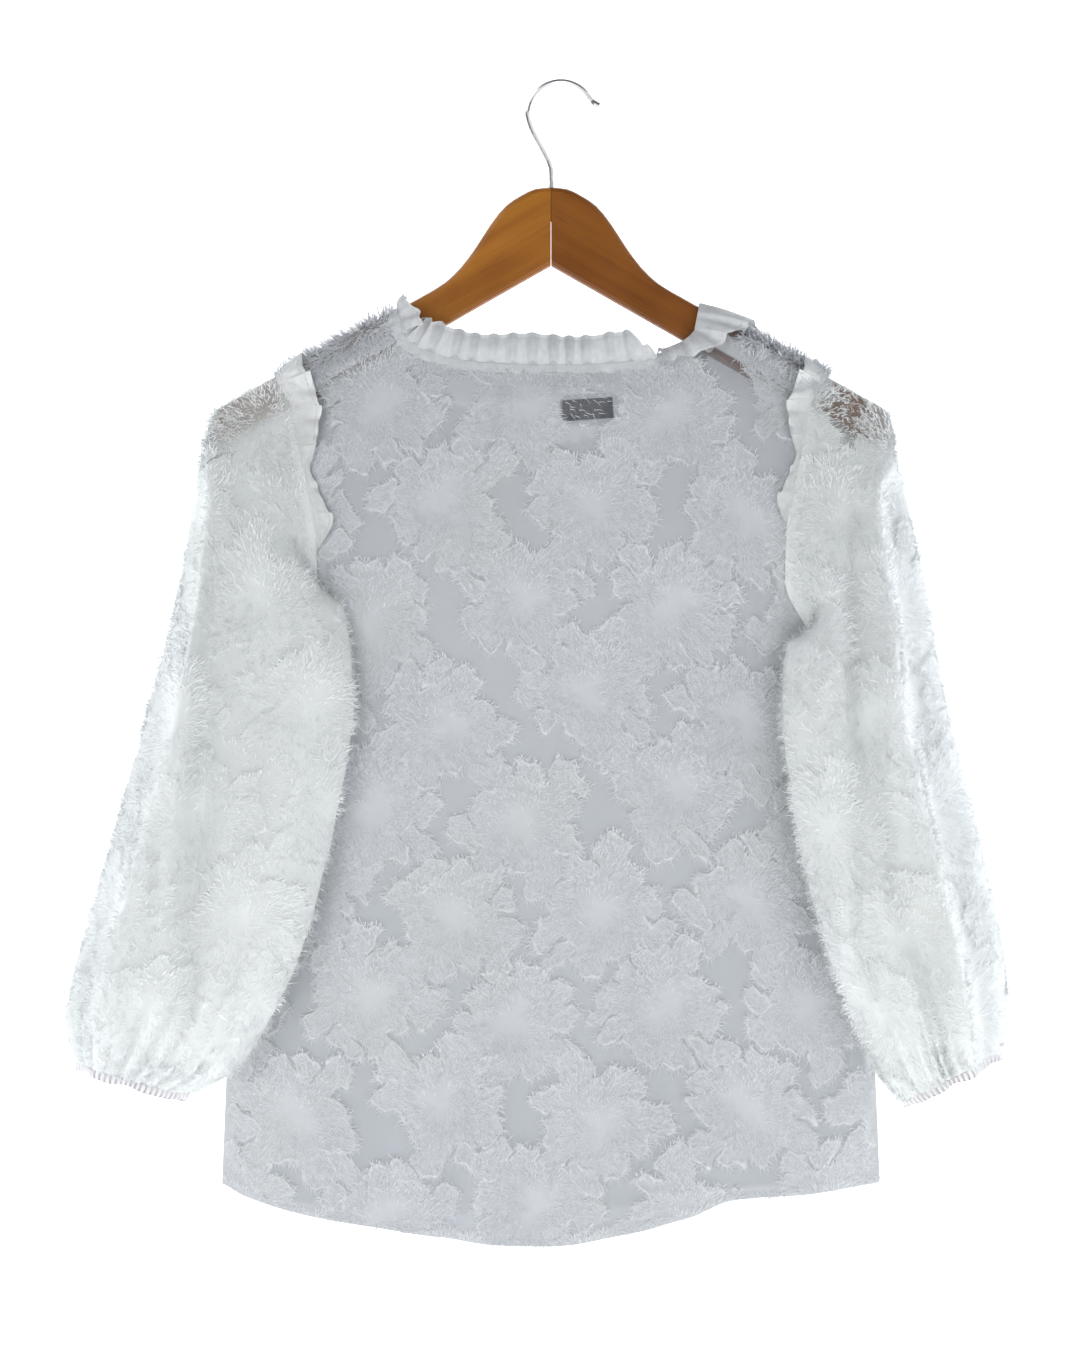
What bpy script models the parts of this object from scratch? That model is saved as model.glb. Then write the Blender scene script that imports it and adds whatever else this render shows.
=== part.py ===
"""A ruffled long-sleeve blouse hanging on a wooden hanger, in metres.

+Z is up and -Y points out of the blouse's front. +X is the wearer's left. The origin is where a rail
carries the hook. Everything is modelled about the hanger's middle and then placed beside the origin,
because the hook's bend lies a little to one side of the hanger.
"""

import math

import bmesh
import bpy
from mathutils import Vector

# Cloth and seams
CLOTH = 0.0012
SEAM_GAP = 0.0003
LAP = CLOTH + SEAM_GAP

# The hanger: a flat bent board of two mitred arms, and a wire hook
HANGER_MIDDLE_X = 0.0065
BOARD = 0.012
BOARD_ROUND = 0.003
ARM_SLOPE = 0.56
UNDER_SLOPE = 0.569
UNDER_APEX_Z = -0.121
ARM_TIP_X = 0.2215
TIP_ROUND = 0.009
MITRE_GAP = 0.00015
WIRE = 0.0036
HOOK_RADIUS = 0.0222
HOOK_RISE = 0.0018
TIP_SWELL = 1.3
SHANK_END_Z = -0.0915
SHANK_TOP_Z = -0.0560

# The neck opening
NECK_HALF = 0.105
NECK_TOP_Z = -0.1548
BACK_NECK_DROP = 0.0373
FRONT_NECK_DROP = 0.104
BACK_NECK_POWER = 2.6
FRONT_NECK_POWER = 2.0
BAND_WIDTH = 0.0065
RUFFLE_WIDTH = 0.0225
NECK_GATHERS = 46
NECK_STEPS = 10
RUFFLE_WAVE = (0.0001, 0.0034)
RUFFLE_BOW = 0.0022
TURNED_LIFT = 1.4 * CLOTH

# How the cloth passes over the arms
RIDGE_AT_NECK = -0.1512
RIDGE_LIFT = 0.0002
RIDGE_HALF = 0.0045
HUG_DROP = 0.003
HUG_DEPTH = 0.0076
HUG_SPREAD = 0.08
BACK_SEAM_DROP = 0.0155
LENS_POWER = 2.2
HUG_ENDS, LENS_BEGINS = 0.012, 0.050

# Seam heights down the armhole, from the shoulder to the underarm, and on to the hem
ARMHOLE_LEVELS = (-0.225, -0.250, -0.280, -0.310, -0.340, -0.365, -0.388)
SIDE_LEVELS = (-0.425, -0.475, -0.530, -0.585, -0.640, -0.690)
UNDERARM_Z = ARMHOLE_LEVELS[-1]

# Half the body's width, and half its depth at the side edge and in the middle
BODY = (
    ("z", "half_width", "edge_depth", "middle_depth"),
    (-0.150, 0.1840, 0.00840, 0.0100),
    (-0.194, 0.1830, 0.00840, 0.0180),
    (-0.215, 0.1715, 0.01000, 0.0220),
    (-0.240, 0.1680, 0.01500, 0.0250),
    (-0.270, 0.1620, 0.02000, 0.0275),
    (-0.300, 0.1565, 0.02250, 0.0300),
    (-0.330, 0.1560, 0.02150, 0.0315),
    (-0.360, 0.1700, 0.01500, 0.0325),
    (-0.380, 0.1900, 0.00600, 0.0330),
    (-0.388, 0.2020, 0.00075, 0.0332),
    (-0.450, 0.2050, 0.00075, 0.0345),
    (-0.600, 0.2130, 0.00075, 0.0360),
    (-0.770, 0.2200, 0.00075, 0.0380),
)

# The hem's height across the body
HEM = (
    ("x", "back", "front"),
    (-0.220, -0.7290, -0.7290),
    (-0.165, -0.7360, -0.7330),
    (-0.120, -0.7390, -0.7390),
    (-0.090, -0.7490, -0.7440),
    (-0.050, -0.7590, -0.7500),
    (0.000, -0.7680, -0.7560),
    (0.075, -0.7620, -0.7550),
    (0.150, -0.7510, -0.7480),
    (0.200, -0.7390, -0.7380),
    (0.222, -0.7280, -0.7290),
)

# Soft folds that open towards the hem: place, half width, depth outwards and where each begins
BACK_FOLDS = (
    ("x", "half_width", "depth", "top_z"),
    (0.165, 0.024, 0.0045, -0.560),
    (0.112, 0.026, -0.0060, -0.420),
    (0.066, 0.012, -0.0040, -0.440),
    (0.044, 0.018, 0.0075, -0.500),
    (0.000, 0.022, -0.0045, -0.540),
    (-0.059, 0.016, 0.0080, -0.560),
    (-0.094, 0.014, 0.0055, -0.600),
    (-0.135, 0.026, -0.0065, -0.480),
    (-0.180, 0.020, 0.0050, -0.620),
)
FRONT_FOLDS = (
    ("x", "half_width", "depth", "top_z"),
    (0.150, 0.024, 0.0055, -0.500),
    (0.100, 0.022, -0.0060, -0.420),
    (0.052, 0.020, 0.0070, -0.460),
    (0.008, 0.022, -0.0050, -0.380),
    (-0.040, 0.018, 0.0065, -0.500),
    (-0.086, 0.022, -0.0060, -0.430),
    (-0.140, 0.026, 0.0060, -0.520),
)

# The sleeve, keyed by the height of its underarm line: how its section tilts, its inner and outer edges
# on each side of the wearer, the depth of its inner fold, its back and its front, and its gathers
SLEEVE = (
    ("z", "left_tilt", "right_tilt", "left_in", "left_out", "right_in", "right_out",
     "fold_depth", "back", "front", "gather"),
    (-0.2065, -0.48, -0.48, 0.1800, 0.2285, 0.1800, 0.2275, 0.0110, 0.0110, 0.0105, 0.0),
    (-0.2250, -0.44, -0.43, 0.1750, 0.2325, 0.1750, 0.2295, 0.0140, 0.0170, 0.0150, 0.0),
    (-0.2500, -0.37, -0.36, 0.1700, 0.2365, 0.1700, 0.2360, 0.0190, 0.0250, 0.0205, 0.0),
    (-0.2800, -0.286, -0.28, 0.1650, 0.2405, 0.1650, 0.2410, 0.0240, 0.0340, 0.0260, 0.0),
    (-0.3100, -0.21, -0.20, 0.1500, 0.2455, 0.1600, 0.2465, 0.0275, 0.0420, 0.0310, 0.0),
    (-0.3400, -0.14, -0.13, 0.1395, 0.2505, 0.1590, 0.2510, 0.0300, 0.0485, 0.0345, 0.0),
    (-0.3650, -0.10, -0.09, 0.1345, 0.2555, 0.1570, 0.2540, 0.0315, 0.0530, 0.0365, 0.0),
    (-0.3880, -0.07, -0.06, 0.1315, 0.2605, 0.1535, 0.2575, 0.0325, 0.0560, 0.0380, 0.0),
    (-0.4200, -0.03, -0.03, 0.1305, 0.2680, 0.1520, 0.2635, 0.0335, 0.0585, 0.0395, 0.0),
    (-0.4650, 0.00, 0.00, 0.1375, 0.2805, 0.1575, 0.2745, 0.0340, 0.0605, 0.0405, 0.0),
    (-0.5150, 0.00, 0.00, 0.1480, 0.2945, 0.1660, 0.2865, 0.0340, 0.0615, 0.0410, 0.0),
    (-0.5600, 0.02, 0.03, 0.1600, 0.3070, 0.1780, 0.2965, 0.0325, 0.0610, 0.0405, 0.0),
    (-0.5980, 0.06, 0.08, 0.1760, 0.3170, 0.1925, 0.3010, 0.0290, 0.0580, 0.0385, 0.0006),
    (-0.6260, 0.12, 0.16, 0.1930, 0.3215, 0.2050, 0.3020, 0.0235, 0.0520, 0.0340, 0.0022),
    (-0.6470, 0.20, 0.32, 0.2130, 0.3190, 0.2170, 0.3005, 0.0165, 0.0410, 0.0250, 0.0028),
    (-0.6610, 0.28, 0.48, 0.2390, 0.3150, 0.2300, 0.2980, 0.0090, 0.0290, 0.0130, 0.0020),
)
CUFF_HEIGHT = 0.007
CUFF_GAP = 0.0007
CUFF_PULL = 0.04
CREST = {1: 0.82, -1: 0.70}
CREST_ON_ARM = 0.86
SPANS = (2, 3, 2, 4, 4, 4, 2, 3, 3, 3, 3, 3)

# The armhole ruffles: how far each runs down the back and the front, and its width
ARM_RUFFLE = {1: 0.020, -1: 0.016}
ARM_RUFFLE_END_Z = {1: -0.309, -1: -0.292}
ARM_RUFFLE_GATHERS = 15
ARM_RUFFLE_SET_IN = 0.0022
ARM_RUFFLE_OVER_ARM = 0.0016
ARM_RUFFLE_SLOPE = 0.40
ARM_RUFFLE_WAVE = 0.0024
ARM_RUFFLE_CLEAR = 0.0016
ARM_RUFFLE_POINT = 0.16

# How far the neck ruffle leans out of the opening, in degrees, once round from the back's middle
# past the wearer's left shoulder, the front and the right shoulder
RUFFLE_LEAN = (
    ("turn", "degrees"),
    (0.00, 8.0),
    (0.08, 8.0),
    (0.12, 16.0),
    (0.15, 50.0),
    (0.175, 80.0),
    (0.25, 84.0),
    (0.34, 42.0),
    (0.50, 24.0),
    (0.66, 48.0),
    (0.74, 120.0),
    (0.79, 150.0),
    (0.84, 148.0),
    (0.865, 120.0),
    (0.89, 50.0),
    (0.92, 14.0),
    (1.00, 8.0),
)

# The neck label, on the inside of the back
LABEL_MIDDLE = (-0.017, -0.2175)
LABEL_SIZE = (0.048, 0.014)
LABEL_TILT = math.radians(-4.0)
LABEL_THICK = 0.0010

WHITE_CLOTH = (0.86, 0.88, 0.88)


def value_at(table, column, place):
    """A table's column at a place in its first column, on a smooth curve that never passes its rows."""
    k = table[0].index(column)
    rows = sorted(table[1:], key=lambda row: row[0])
    if place <= rows[0][0]:
        return rows[0][k]
    if place >= rows[-1][0]:
        return rows[-1][k]
    i = max(j for j in range(len(rows) - 1) if rows[j][0] <= place)
    steps = [b[0] - a[0] for a, b in zip(rows, rows[1:])]
    slopes = [(b[k] - a[k]) / step for a, b, step in zip(rows, rows[1:], steps)]

    def tangent(j):
        if j == 0 or j == len(rows) - 1:
            return slopes[min(j, len(slopes) - 1)]
        before, after = slopes[j - 1], slopes[j]
        return 0.0 if before * after <= 0 else 2 * before * after / (before + after)

    t = (place - rows[i][0]) / steps[i]
    rise = steps[i] * (tangent(i) * t * (1 - t) ** 2 - tangent(i + 1) * t * t * (1 - t))
    return rows[i][k] + (rows[i + 1][k] - rows[i][k]) * t * t * (3 - 2 * t) + rise


def soft_step(t):
    t = min(1.0, max(0.0, t))
    return t * t * (3 - 2 * t)


def mix(a, b, share):
    return a + (b - a) * share


def ridge(x):
    """Height of the cloth's middle where it lies along an arm's top, level between the arms."""
    return RIDGE_AT_NECK - ARM_SLOPE * max(0.0, abs(x) - NECK_HALF)


def half_width(z):
    return value_at(BODY, "half_width", z)


def body_depth(x, z):
    """Distance of the smooth body cloth from the plane of the hanger."""
    drop = ridge(x) - z
    across = min(1.0, abs(x) / half_width(z))
    edge = value_at(BODY, "edge_depth", z)
    middle = value_at(BODY, "middle_depth", z)
    lens = edge + (middle - edge) * (1 - across**LENS_POWER)
    hug = HUG_DEPTH + HUG_SPREAD * (drop - HUG_DROP)
    return mix(hug, lens, soft_step((drop - HUG_ENDS) / LENS_BEGINS))


def fold_depth(folds, x, z):
    """How far the hanging folds push the cloth out at a point, growing from each fold's top to the hem."""
    total = 0.0
    for middle, wide, depth, top in folds[1:]:
        share = soft_step((top - z) / (top + 0.74))
        fan = middle * mix(0.9, 1.0, share)
        total += depth * share * math.exp(-(((x - fan) / wide) ** 2))
    edge_share = 1 - min(1.0, abs(x) / half_width(z)) ** 6
    return total * edge_share


def neck_height(x, drop, power):
    """Height of the neck edge at x, on a rounded curve between the shoulders."""
    share = min(1.0, abs(x) / NECK_HALF)
    return NECK_TOP_Z - drop * (1 - share**power) ** (1 / power)


def neck_half_at(z, drop, power):
    """Half the neck's width at a height, the other way round."""
    down = min(1.0, max(0.0, (NECK_TOP_Z - z) / drop))
    return NECK_HALF * (1 - down**power) ** (1 / power)


def armhole_x(drop):
    """Where the armhole crosses the line that lies this far below the arm's ridge."""
    x = half_width(RIDGE_AT_NECK)
    for _ in range(40):
        x = half_width(ridge(x) - drop)
    return x


def material(name, colour, roughness, metallic=0.0):
    made = bpy.data.materials.new(name)
    made.use_nodes = True
    shader = made.node_tree.nodes["Principled BSDF"]
    shader.inputs["Base Color"].default_value = (*colour, 1.0)
    shader.inputs["Roughness"].default_value = roughness
    shader.inputs["Metallic"].default_value = metallic
    made.diffuse_color = (*colour, 1.0)
    return made


def place(obj, parent, collection, finish):
    collection.objects.link(obj)
    obj.parent = parent
    obj.data.materials.append(finish)
    return obj


def grid_faces(mesh, rows, wrap=False):
    """Joins rows of points into quads, and returns the rows as vertices."""
    made = [[mesh.verts.new(p) for p in row] for row in rows]
    for low, high in zip(made, made[1:]):
        pairs = list(zip(range(len(low) - 1), range(1, len(low))))
        if wrap:
            pairs.append((len(low) - 1, 0))
        for i, j in pairs:
            mesh.faces.new((low[i], low[j], high[j], high[i]))
    return made


def cloth_object(name, mesh, thickness=CLOTH):
    """Turns an open surface of cloth into a wall of even thickness about that surface."""
    bmesh.ops.remove_doubles(mesh, verts=mesh.verts, dist=0.00002)
    bmesh.ops.recalc_face_normals(mesh, faces=mesh.faces)
    data = bpy.data.meshes.new(name)
    mesh.to_mesh(data)
    mesh.free()
    data.shade_smooth()
    obj = bpy.data.objects.new(name, data)
    wall = obj.modifiers.new("wall", "SOLIDIFY")
    wall.thickness = thickness
    wall.offset = 0.0
    wall.use_even_offset = True
    wall.use_quality_normals = True
    wall.thickness_clamp = 1.0
    return obj


def across_shoulder(inner, outer, count):
    return [mix(inner, outer, i / count) for i in range(count + 1)]


def neck_edge(neck_drop, neck_power):
    """Half of a panel's neck edge, as (x, z), from the middle out to the shoulder seam."""
    corner_x = neck_half_at(ridge(NECK_HALF) - BACK_SEAM_DROP, neck_drop, neck_power)
    edge = []
    for i in range(NECK_STEPS + 1):
        x = corner_x * (1 - (1 - i / NECK_STEPS) ** 1.5)
        edge.append((x, neck_height(x, neck_drop, neck_power)))
    return edge


def panel_tops(neck_drop, neck_power, shoulder_drop, shoulder_steps=5):
    """The top of each column of a body panel on one side, from the middle out to the armhole."""
    tops = neck_edge(neck_drop, neck_power)
    corner_x = tops.pop()[0]
    for x in across_shoulder(corner_x, armhole_x(shoulder_drop), shoulder_steps):
        tops.append((x, ridge(x) - shoulder_drop))
    return tops


def panel_rows(side_y, tops, hem_column, folds):
    """Rows of points of a body panel, from its neck and shoulders down to its hem."""
    edge_top = tops[-1][1]
    edge_hem = value_at(HEM, hem_column, half_width(-0.729))
    levels = (edge_top, *ARMHOLE_LEVELS, *SIDE_LEVELS, edge_hem)
    shares = [(z - edge_top) / (edge_hem - edge_top) for z in levels]
    columns = [(-x, z) for x, z in reversed(tops[1:])] + tops
    rows = []
    for share in shares:
        row = []
        for top_x, top_z in columns:
            across = top_x / half_width(top_z)
            hem_z = value_at(HEM, hem_column, across * half_width(-0.74))
            z = mix(top_z, hem_z, share)
            x = across * half_width(z)
            depth = body_depth(x, z) + fold_depth(folds, x, z)
            row.append(Vector((x, side_y * depth, z)))
        rows.append(row)
    return rows


def make_back():
    tops = panel_tops(BACK_NECK_DROP, BACK_NECK_POWER, BACK_SEAM_DROP + SEAM_GAP)
    mesh = bmesh.new()
    grid_faces(mesh, panel_rows(1, tops, "back", BACK_FOLDS))
    return cloth_object("back", mesh)


def over_the_arm(x_neck, x_arm, steps, depth, drop):
    """One row of a shoulder, at a depth from the hanger's plane and a drop below the ridge."""
    return [Vector((x, depth, ridge(x) - drop)) for x in across_shoulder(x_neck, x_arm, steps)]


def make_front(shoulder_steps=5):
    """The front, whose shoulders pass over the arms and meet the back a little way down behind them."""
    tops = panel_tops(
        FRONT_NECK_DROP, FRONT_NECK_POWER, BACK_SEAM_DROP, shoulder_steps=shoulder_steps
    )
    mesh = bmesh.new()
    rows = grid_faces(mesh, panel_rows(-1, tops, "front", FRONT_FOLDS))
    seam_hug = HUG_DEPTH + HUG_SPREAD * (BACK_SEAM_DROP - HUG_DROP)
    path = (
        (seam_hug, BACK_SEAM_DROP),
        (mix(HUG_DEPTH, seam_hug, 0.5), mix(HUG_DROP, BACK_SEAM_DROP, 0.5)),
        (HUG_DEPTH, HUG_DROP),
        (RIDGE_HALF, -RIDGE_LIFT),
        (-RIDGE_HALF, -RIDGE_LIFT),
        (-HUG_DEPTH, HUG_DROP),
    )
    for side in (1, -1):
        flap = []
        for depth, drop in path:
            z = ridge(NECK_HALF) - drop
            opening = (BACK_NECK_DROP, BACK_NECK_POWER) if depth > 0 else (FRONT_NECK_DROP, FRONT_NECK_POWER)
            x_neck = neck_half_at(z, *opening)
            row = over_the_arm(x_neck, armhole_x(drop), shoulder_steps, depth, drop)
            flap.append([Vector((side * p.x, p.y, p.z)) for p in row])
        shoulder = rows[0][-shoulder_steps - 1:] if side > 0 else rows[0][shoulder_steps::-1]
        flap.append([v.co.copy() for v in shoulder])
        grid_faces(mesh, flap)
    return cloth_object("front", mesh)


def spline_through(points, spans, closed):
    """Points on a centripetal Catmull-Rom curve, with a set number of steps between the given ones."""
    count = len(points)
    made = []
    for i, steps in enumerate(spans):
        if closed:
            four = [points[(i + k) % (count - 1)] for k in (-1, 0, 1, 2)]
        else:
            four = [points[min(max(i + k, 0), count - 1)] for k in (-1, 0, 1, 2)]
            if i == 0:
                four[0] = points[0] * 2 - points[1]
            if i == count - 2:
                four[3] = points[-1] * 2 - points[-2]
        knots = [0.0]
        for a, b in zip(four, four[1:]):
            knots.append(knots[-1] + max(1e-6, (b - a).length) ** 0.5)
        for k in range(steps):
            t = mix(knots[1], knots[2], k / steps)
            first = [
                mix(four[j], four[j + 1], (t - knots[j]) / (knots[j + 1] - knots[j]))
                for j in range(3)
            ]
            second = [
                mix(first[j], first[j + 1], (t - knots[j]) / (knots[j + 2] - knots[j]))
                for j in range(2)
            ]
            made.append(mix(second[0], second[1], (t - knots[1]) / (knots[2] - knots[1])))
    made.append(points[-1].copy())
    return made


def sleeve_section(side, z):
    """One ring of a sleeve, from its underarm line round the inner fold and the back to the front."""
    word = "left" if side > 0 else "right"
    read = {c: value_at(SLEEVE, c, z) for c in SLEEVE[0][7:]}
    tilt = value_at(SLEEVE, word + "_tilt", z)
    outer = value_at(SLEEVE, word + "_out", z)
    body = half_width(z)
    above = z >= UNDERARM_Z
    inner = value_at(SLEEVE, word + "_in", z)
    edge = body + SEAM_GAP
    if above:
        inner = min(inner, edge)
    wide = outer - inner
    droop = soft_step((edge - inner) / 0.028) if above else 1.0
    on_board = 1 - soft_step((-0.226 - z) / 0.030)
    crest = mix(CREST[side], CREST_ON_ARM, on_board)
    back, front = read["back"], read["front"]
    if above:
        seam_depth = value_at(BODY, "edge_depth", z) if z < -0.27 else body_depth(body, z)
        start = (edge, seam_depth + LAP)
        finish = (edge, -seam_depth - LAP)
    else:
        seam_x = max(body + 0.010, inner + 0.40 * wide)
        clear = soft_step((seam_x - body - 0.010) / 0.030)
        start = finish = (seam_x, mix(-0.003, -0.62 * front, clear))
    under_x = mix(edge + 0.05 * wide, max(body - 0.002, inner + 0.42 * (start[0] - inner)), droop)
    under_low = max(body_depth(under_x, z) + 0.0050, 0.52 * read["fold_depth"])
    under_y = mix(start[1] + 0.10 * (back - start[1]), under_low, droop)
    fold_x = mix(edge + 0.10 * wide, inner, droop)
    fold_y = mix(start[1] + 0.25 * (back - start[1]), read["fold_depth"], droop)

    def at(share):
        return inner + share * wide

    front_in = mix(finish[0], at(0.70), 0.45)
    outline = [
        start,
        (under_x, under_y),
        (fold_x, fold_y),
        (at(mix(0.22, 0.13, droop)), mix(fold_y, back, 0.72)),
        (at(0.36), back),
        (at(crest - 0.20), back * 0.86),
        (at(crest), back * 0.93),
        (at(crest + 0.07), back * mix(0.55, 0.86, on_board)),
        (outer, 0.05 * back),
        (at(0.90), -0.68 * front),
        (at(0.70), -front),
        (front_in, mix(finish[1], -front, 0.70)),
        finish,
    ]
    points = [Vector((x, y, 0)) for x, y in outline]
    ring = spline_through(points, SPANS, closed=not above)
    count = sum(SPANS)
    middle = Vector((at(0.5), 0.3 * back, 0))
    for i, p in enumerate(ring):
        out = (p - middle).normalized()
        p += out * read["gather"] * (1 if i % 2 else -1)
        p.z = z + tilt * (p.x - start[0])
        p.x *= side
    return ring[: count + 1]


def sleeve_head(side, drop, depth, outer):
    """A ring of the sleeve that lies along the arm, near the ridge."""
    inner = armhole_x(drop) + SEAM_GAP
    crest = CREST_ON_ARM
    shares = (0.0, 0.05, 0.10, 0.22, 0.36, crest - 0.20, crest, crest + 0.07, 1.0, 0.90, 0.70, 0.32, 0.0)
    depths = (1, 1, 1, 1, 1, 1, 1, 0.92, 0, -1, -1, -1, -1)
    corners = [Vector((mix(inner, outer, s), d * depth, 0)) for s, d in zip(shares, depths)]
    ring = []
    for a, b, steps in zip(corners, corners[1:], SPANS):
        ring += [mix(a, b, k / steps) for k in range(steps)]
    ring.append(corners[-1])
    for p in ring:
        p.z = ridge(p.x) - drop
        p.x *= side
    return ring


def sleeve_rings(side):
    word = "left" if side > 0 else "right"
    first_out = value_at(SLEEVE, word + "_out", -0.2065)
    rings = [
        sleeve_head(side, -RIDGE_LIFT, RIDGE_HALF, first_out - 0.0055),
        sleeve_head(side, HUG_DROP, HUG_DEPTH + 0.0004, first_out - 0.0020),
    ]
    shoulder = ridge(armhole_x(BACK_SEAM_DROP)) - BACK_SEAM_DROP
    lower = [row[0] for row in SLEEVE[1:] if row[0] < UNDERARM_Z]
    for z in (shoulder, *ARMHOLE_LEVELS, *lower):
        rings.append(sleeve_section(side, z))
    return rings


def make_sleeve(side):
    """A balloon sleeve: open along the armhole, and one closed tube below the underarm."""
    mesh = bmesh.new()
    rows = grid_faces(mesh, sleeve_rings(side))
    mesh.faces.new(rows[0])
    return cloth_object("sleeve_left" if side > 0 else "sleeve_right", mesh)


def make_cuff(side):
    """The narrow elastic band that the sleeve is gathered into."""
    ring = sleeve_rings(side)[-1][:-1]
    middle = sum(ring, Vector()) / len(ring)
    down = (ring[0] - middle).cross(ring[len(ring) // 3] - middle).normalized()
    down = down if down.z < 0 else -down
    mesh = bmesh.new()
    rows = []
    for drop, pull in ((CUFF_GAP, 0.0), (CUFF_HEIGHT, CUFF_PULL)):
        rows.append([p + down * drop + (middle - p) * pull for p in ring])
    grid_faces(mesh, rows, wrap=True)
    return cloth_object("cuff_left" if side > 0 else "cuff_right", mesh)


def neck_loop():
    """The neck edge once round, as (point, outward normal of the cloth): back, left, front, right."""
    half = []
    for x, z in neck_edge(BACK_NECK_DROP, BACK_NECK_POWER):
        half.append((Vector((x, body_depth(x, z), z)), Vector((0, 1, 0.1))))
    top = ridge(NECK_HALF)
    for depth, drop, lean in (
        (HUG_DEPTH, HUG_DROP, 20),
        (RIDGE_HALF, -RIDGE_LIFT, 60),
        (-RIDGE_HALF, -RIDGE_LIFT, 120),
        (-HUG_DEPTH, HUG_DROP, 160),
    ):
        up = math.sin(math.radians(lean))
        normal = Vector((up * ARM_SLOPE, math.cos(math.radians(lean)), up)).normalized()
        half.append((Vector((NECK_HALF, depth, top - drop)), normal))
    for x, z in reversed(neck_edge(FRONT_NECK_DROP, FRONT_NECK_POWER)):
        half.append((Vector((x, -body_depth(x, z), z)), Vector((0, -1, 0.1))))
    other = [
        (Vector((-p.x, p.y, p.z)), Vector((-n.x, n.y, n.z))) for p, n in reversed(half[1:-1])
    ]
    return half + other


def even_places(loop, count):
    """Evenly spaced places round a closed loop."""
    points = [p for p, _ in loop]
    lengths = [(b - a).length for a, b in zip(points, points[1:] + points[:1])]
    total = sum(lengths)
    places = []
    for k in range(count):
        want, i = total * k / count, 0
        while want > lengths[i]:
            want -= lengths[i]
            i += 1
        share = want / lengths[i]
        a, b = loop[i], loop[(i + 1) % len(loop)]
        places.append((mix(a[0], b[0], share), mix(a[1], b[1], share).normalized()))
    return places


def stations(places):
    """Places round a closed loop, as (point, along, outward normal, into the opening)."""
    made = []
    for k, (p, normal) in enumerate(places):
        along = (places[(k + 1) % len(places)][0] - places[k - 1][0]).normalized()
        inward = along.cross(normal).normalized()
        hole = Vector((0, 0, max(-0.150, p.z + 0.03)))
        if inward.dot(hole - p) < 0:
            inward = -inward
        made.append((p, along, normal, inward))
    return made


def make_neck_band():
    mesh = bmesh.new()
    rows = []
    places = stations(neck_loop())
    for reach in (SEAM_GAP + CLOTH * 0.1, BAND_WIDTH):
        rows.append([p + inward * reach for p, _, _, inward in places])
    grid_faces(mesh, rows, wrap=True)
    return cloth_object("neck_band", mesh)


def gather_wave(turn, count):
    """A wave that runs a whole number of times round, with uneven spacing and height."""
    swing = 0.30 * math.sin(5 * turn * math.tau) + 0.22 * math.sin(11 * turn * math.tau + 1.0)
    height = 0.80 + 0.20 * math.sin(7 * turn * math.tau + 2.0)
    return height * math.sin(count * turn * math.tau + swing)


def make_neck_ruffle():
    """A gathered strip that stands in the neck, and falls outwards over the right shoulder."""
    count = NECK_GATHERS * 4
    places = stations(even_places(neck_loop(), count))
    mesh = bmesh.new()
    rows = []
    for share in (0.0, 0.45, 1.0):
        row = []
        for k, (p, along, normal, inward) in enumerate(places):
            turn = k / count
            lean = math.radians(value_at(RUFFLE_LEAN, "degrees", turn))
            rise = inward * math.cos(lean) + normal * math.sin(lean)
            aside = along.cross(rise).normalized()
            if aside.dot(normal * math.cos(lean) - inward * math.sin(lean)) < 0:
                aside = -aside
            turned = soft_step((lean - 1.3) / 0.8)
            clear = SEAM_GAP * 1.7 + CLOTH * (0.5 * math.sin(lean) + turned)
            base = p + inward * (BAND_WIDTH + clear) + normal * (TURNED_LIFT * turned)
            wave = gather_wave(turn, NECK_GATHERS)
            fullness = mix(*RUFFLE_WAVE, share)
            bow = RUFFLE_BOW * math.sin(math.pi * share)
            row.append(base + rise * (RUFFLE_WIDTH * share) + aside * (wave * fullness + bow))
        rows.append(row)
    grid_faces(mesh, rows, wrap=True)
    return cloth_object("neck_ruffle", mesh)


def armhole_path(side):
    """The armhole edge from low on the back, over the arm, to low on the front: (point, normal)."""
    end = ARM_RUFFLE_END_Z[side]
    top = ridge(armhole_x(BACK_SEAM_DROP)) - BACK_SEAM_DROP
    steps = 9
    half = []
    for i in range(steps + 1):
        z = mix(end, top, i / steps)
        half.append((Vector((half_width(z), body_depth(half_width(z), z), z)), Vector((0, 1, 0.25))))
    for depth, drop, lean in ((HUG_DEPTH, HUG_DROP, 30), (RIDGE_HALF, -RIDGE_LIFT, 70)):
        x = armhole_x(drop)
        normal = Vector((0, math.cos(math.radians(lean)), math.sin(math.radians(lean))))
        half.append((Vector((x, depth, ridge(x) - drop)), normal))
    other = [(Vector((p.x, -p.y, p.z)), Vector((0, -n.y, n.z))) for p, n in reversed(half)]
    return [(Vector((side * p.x, p.y, p.z)), n.normalized()) for p, n in half + other]


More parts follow.
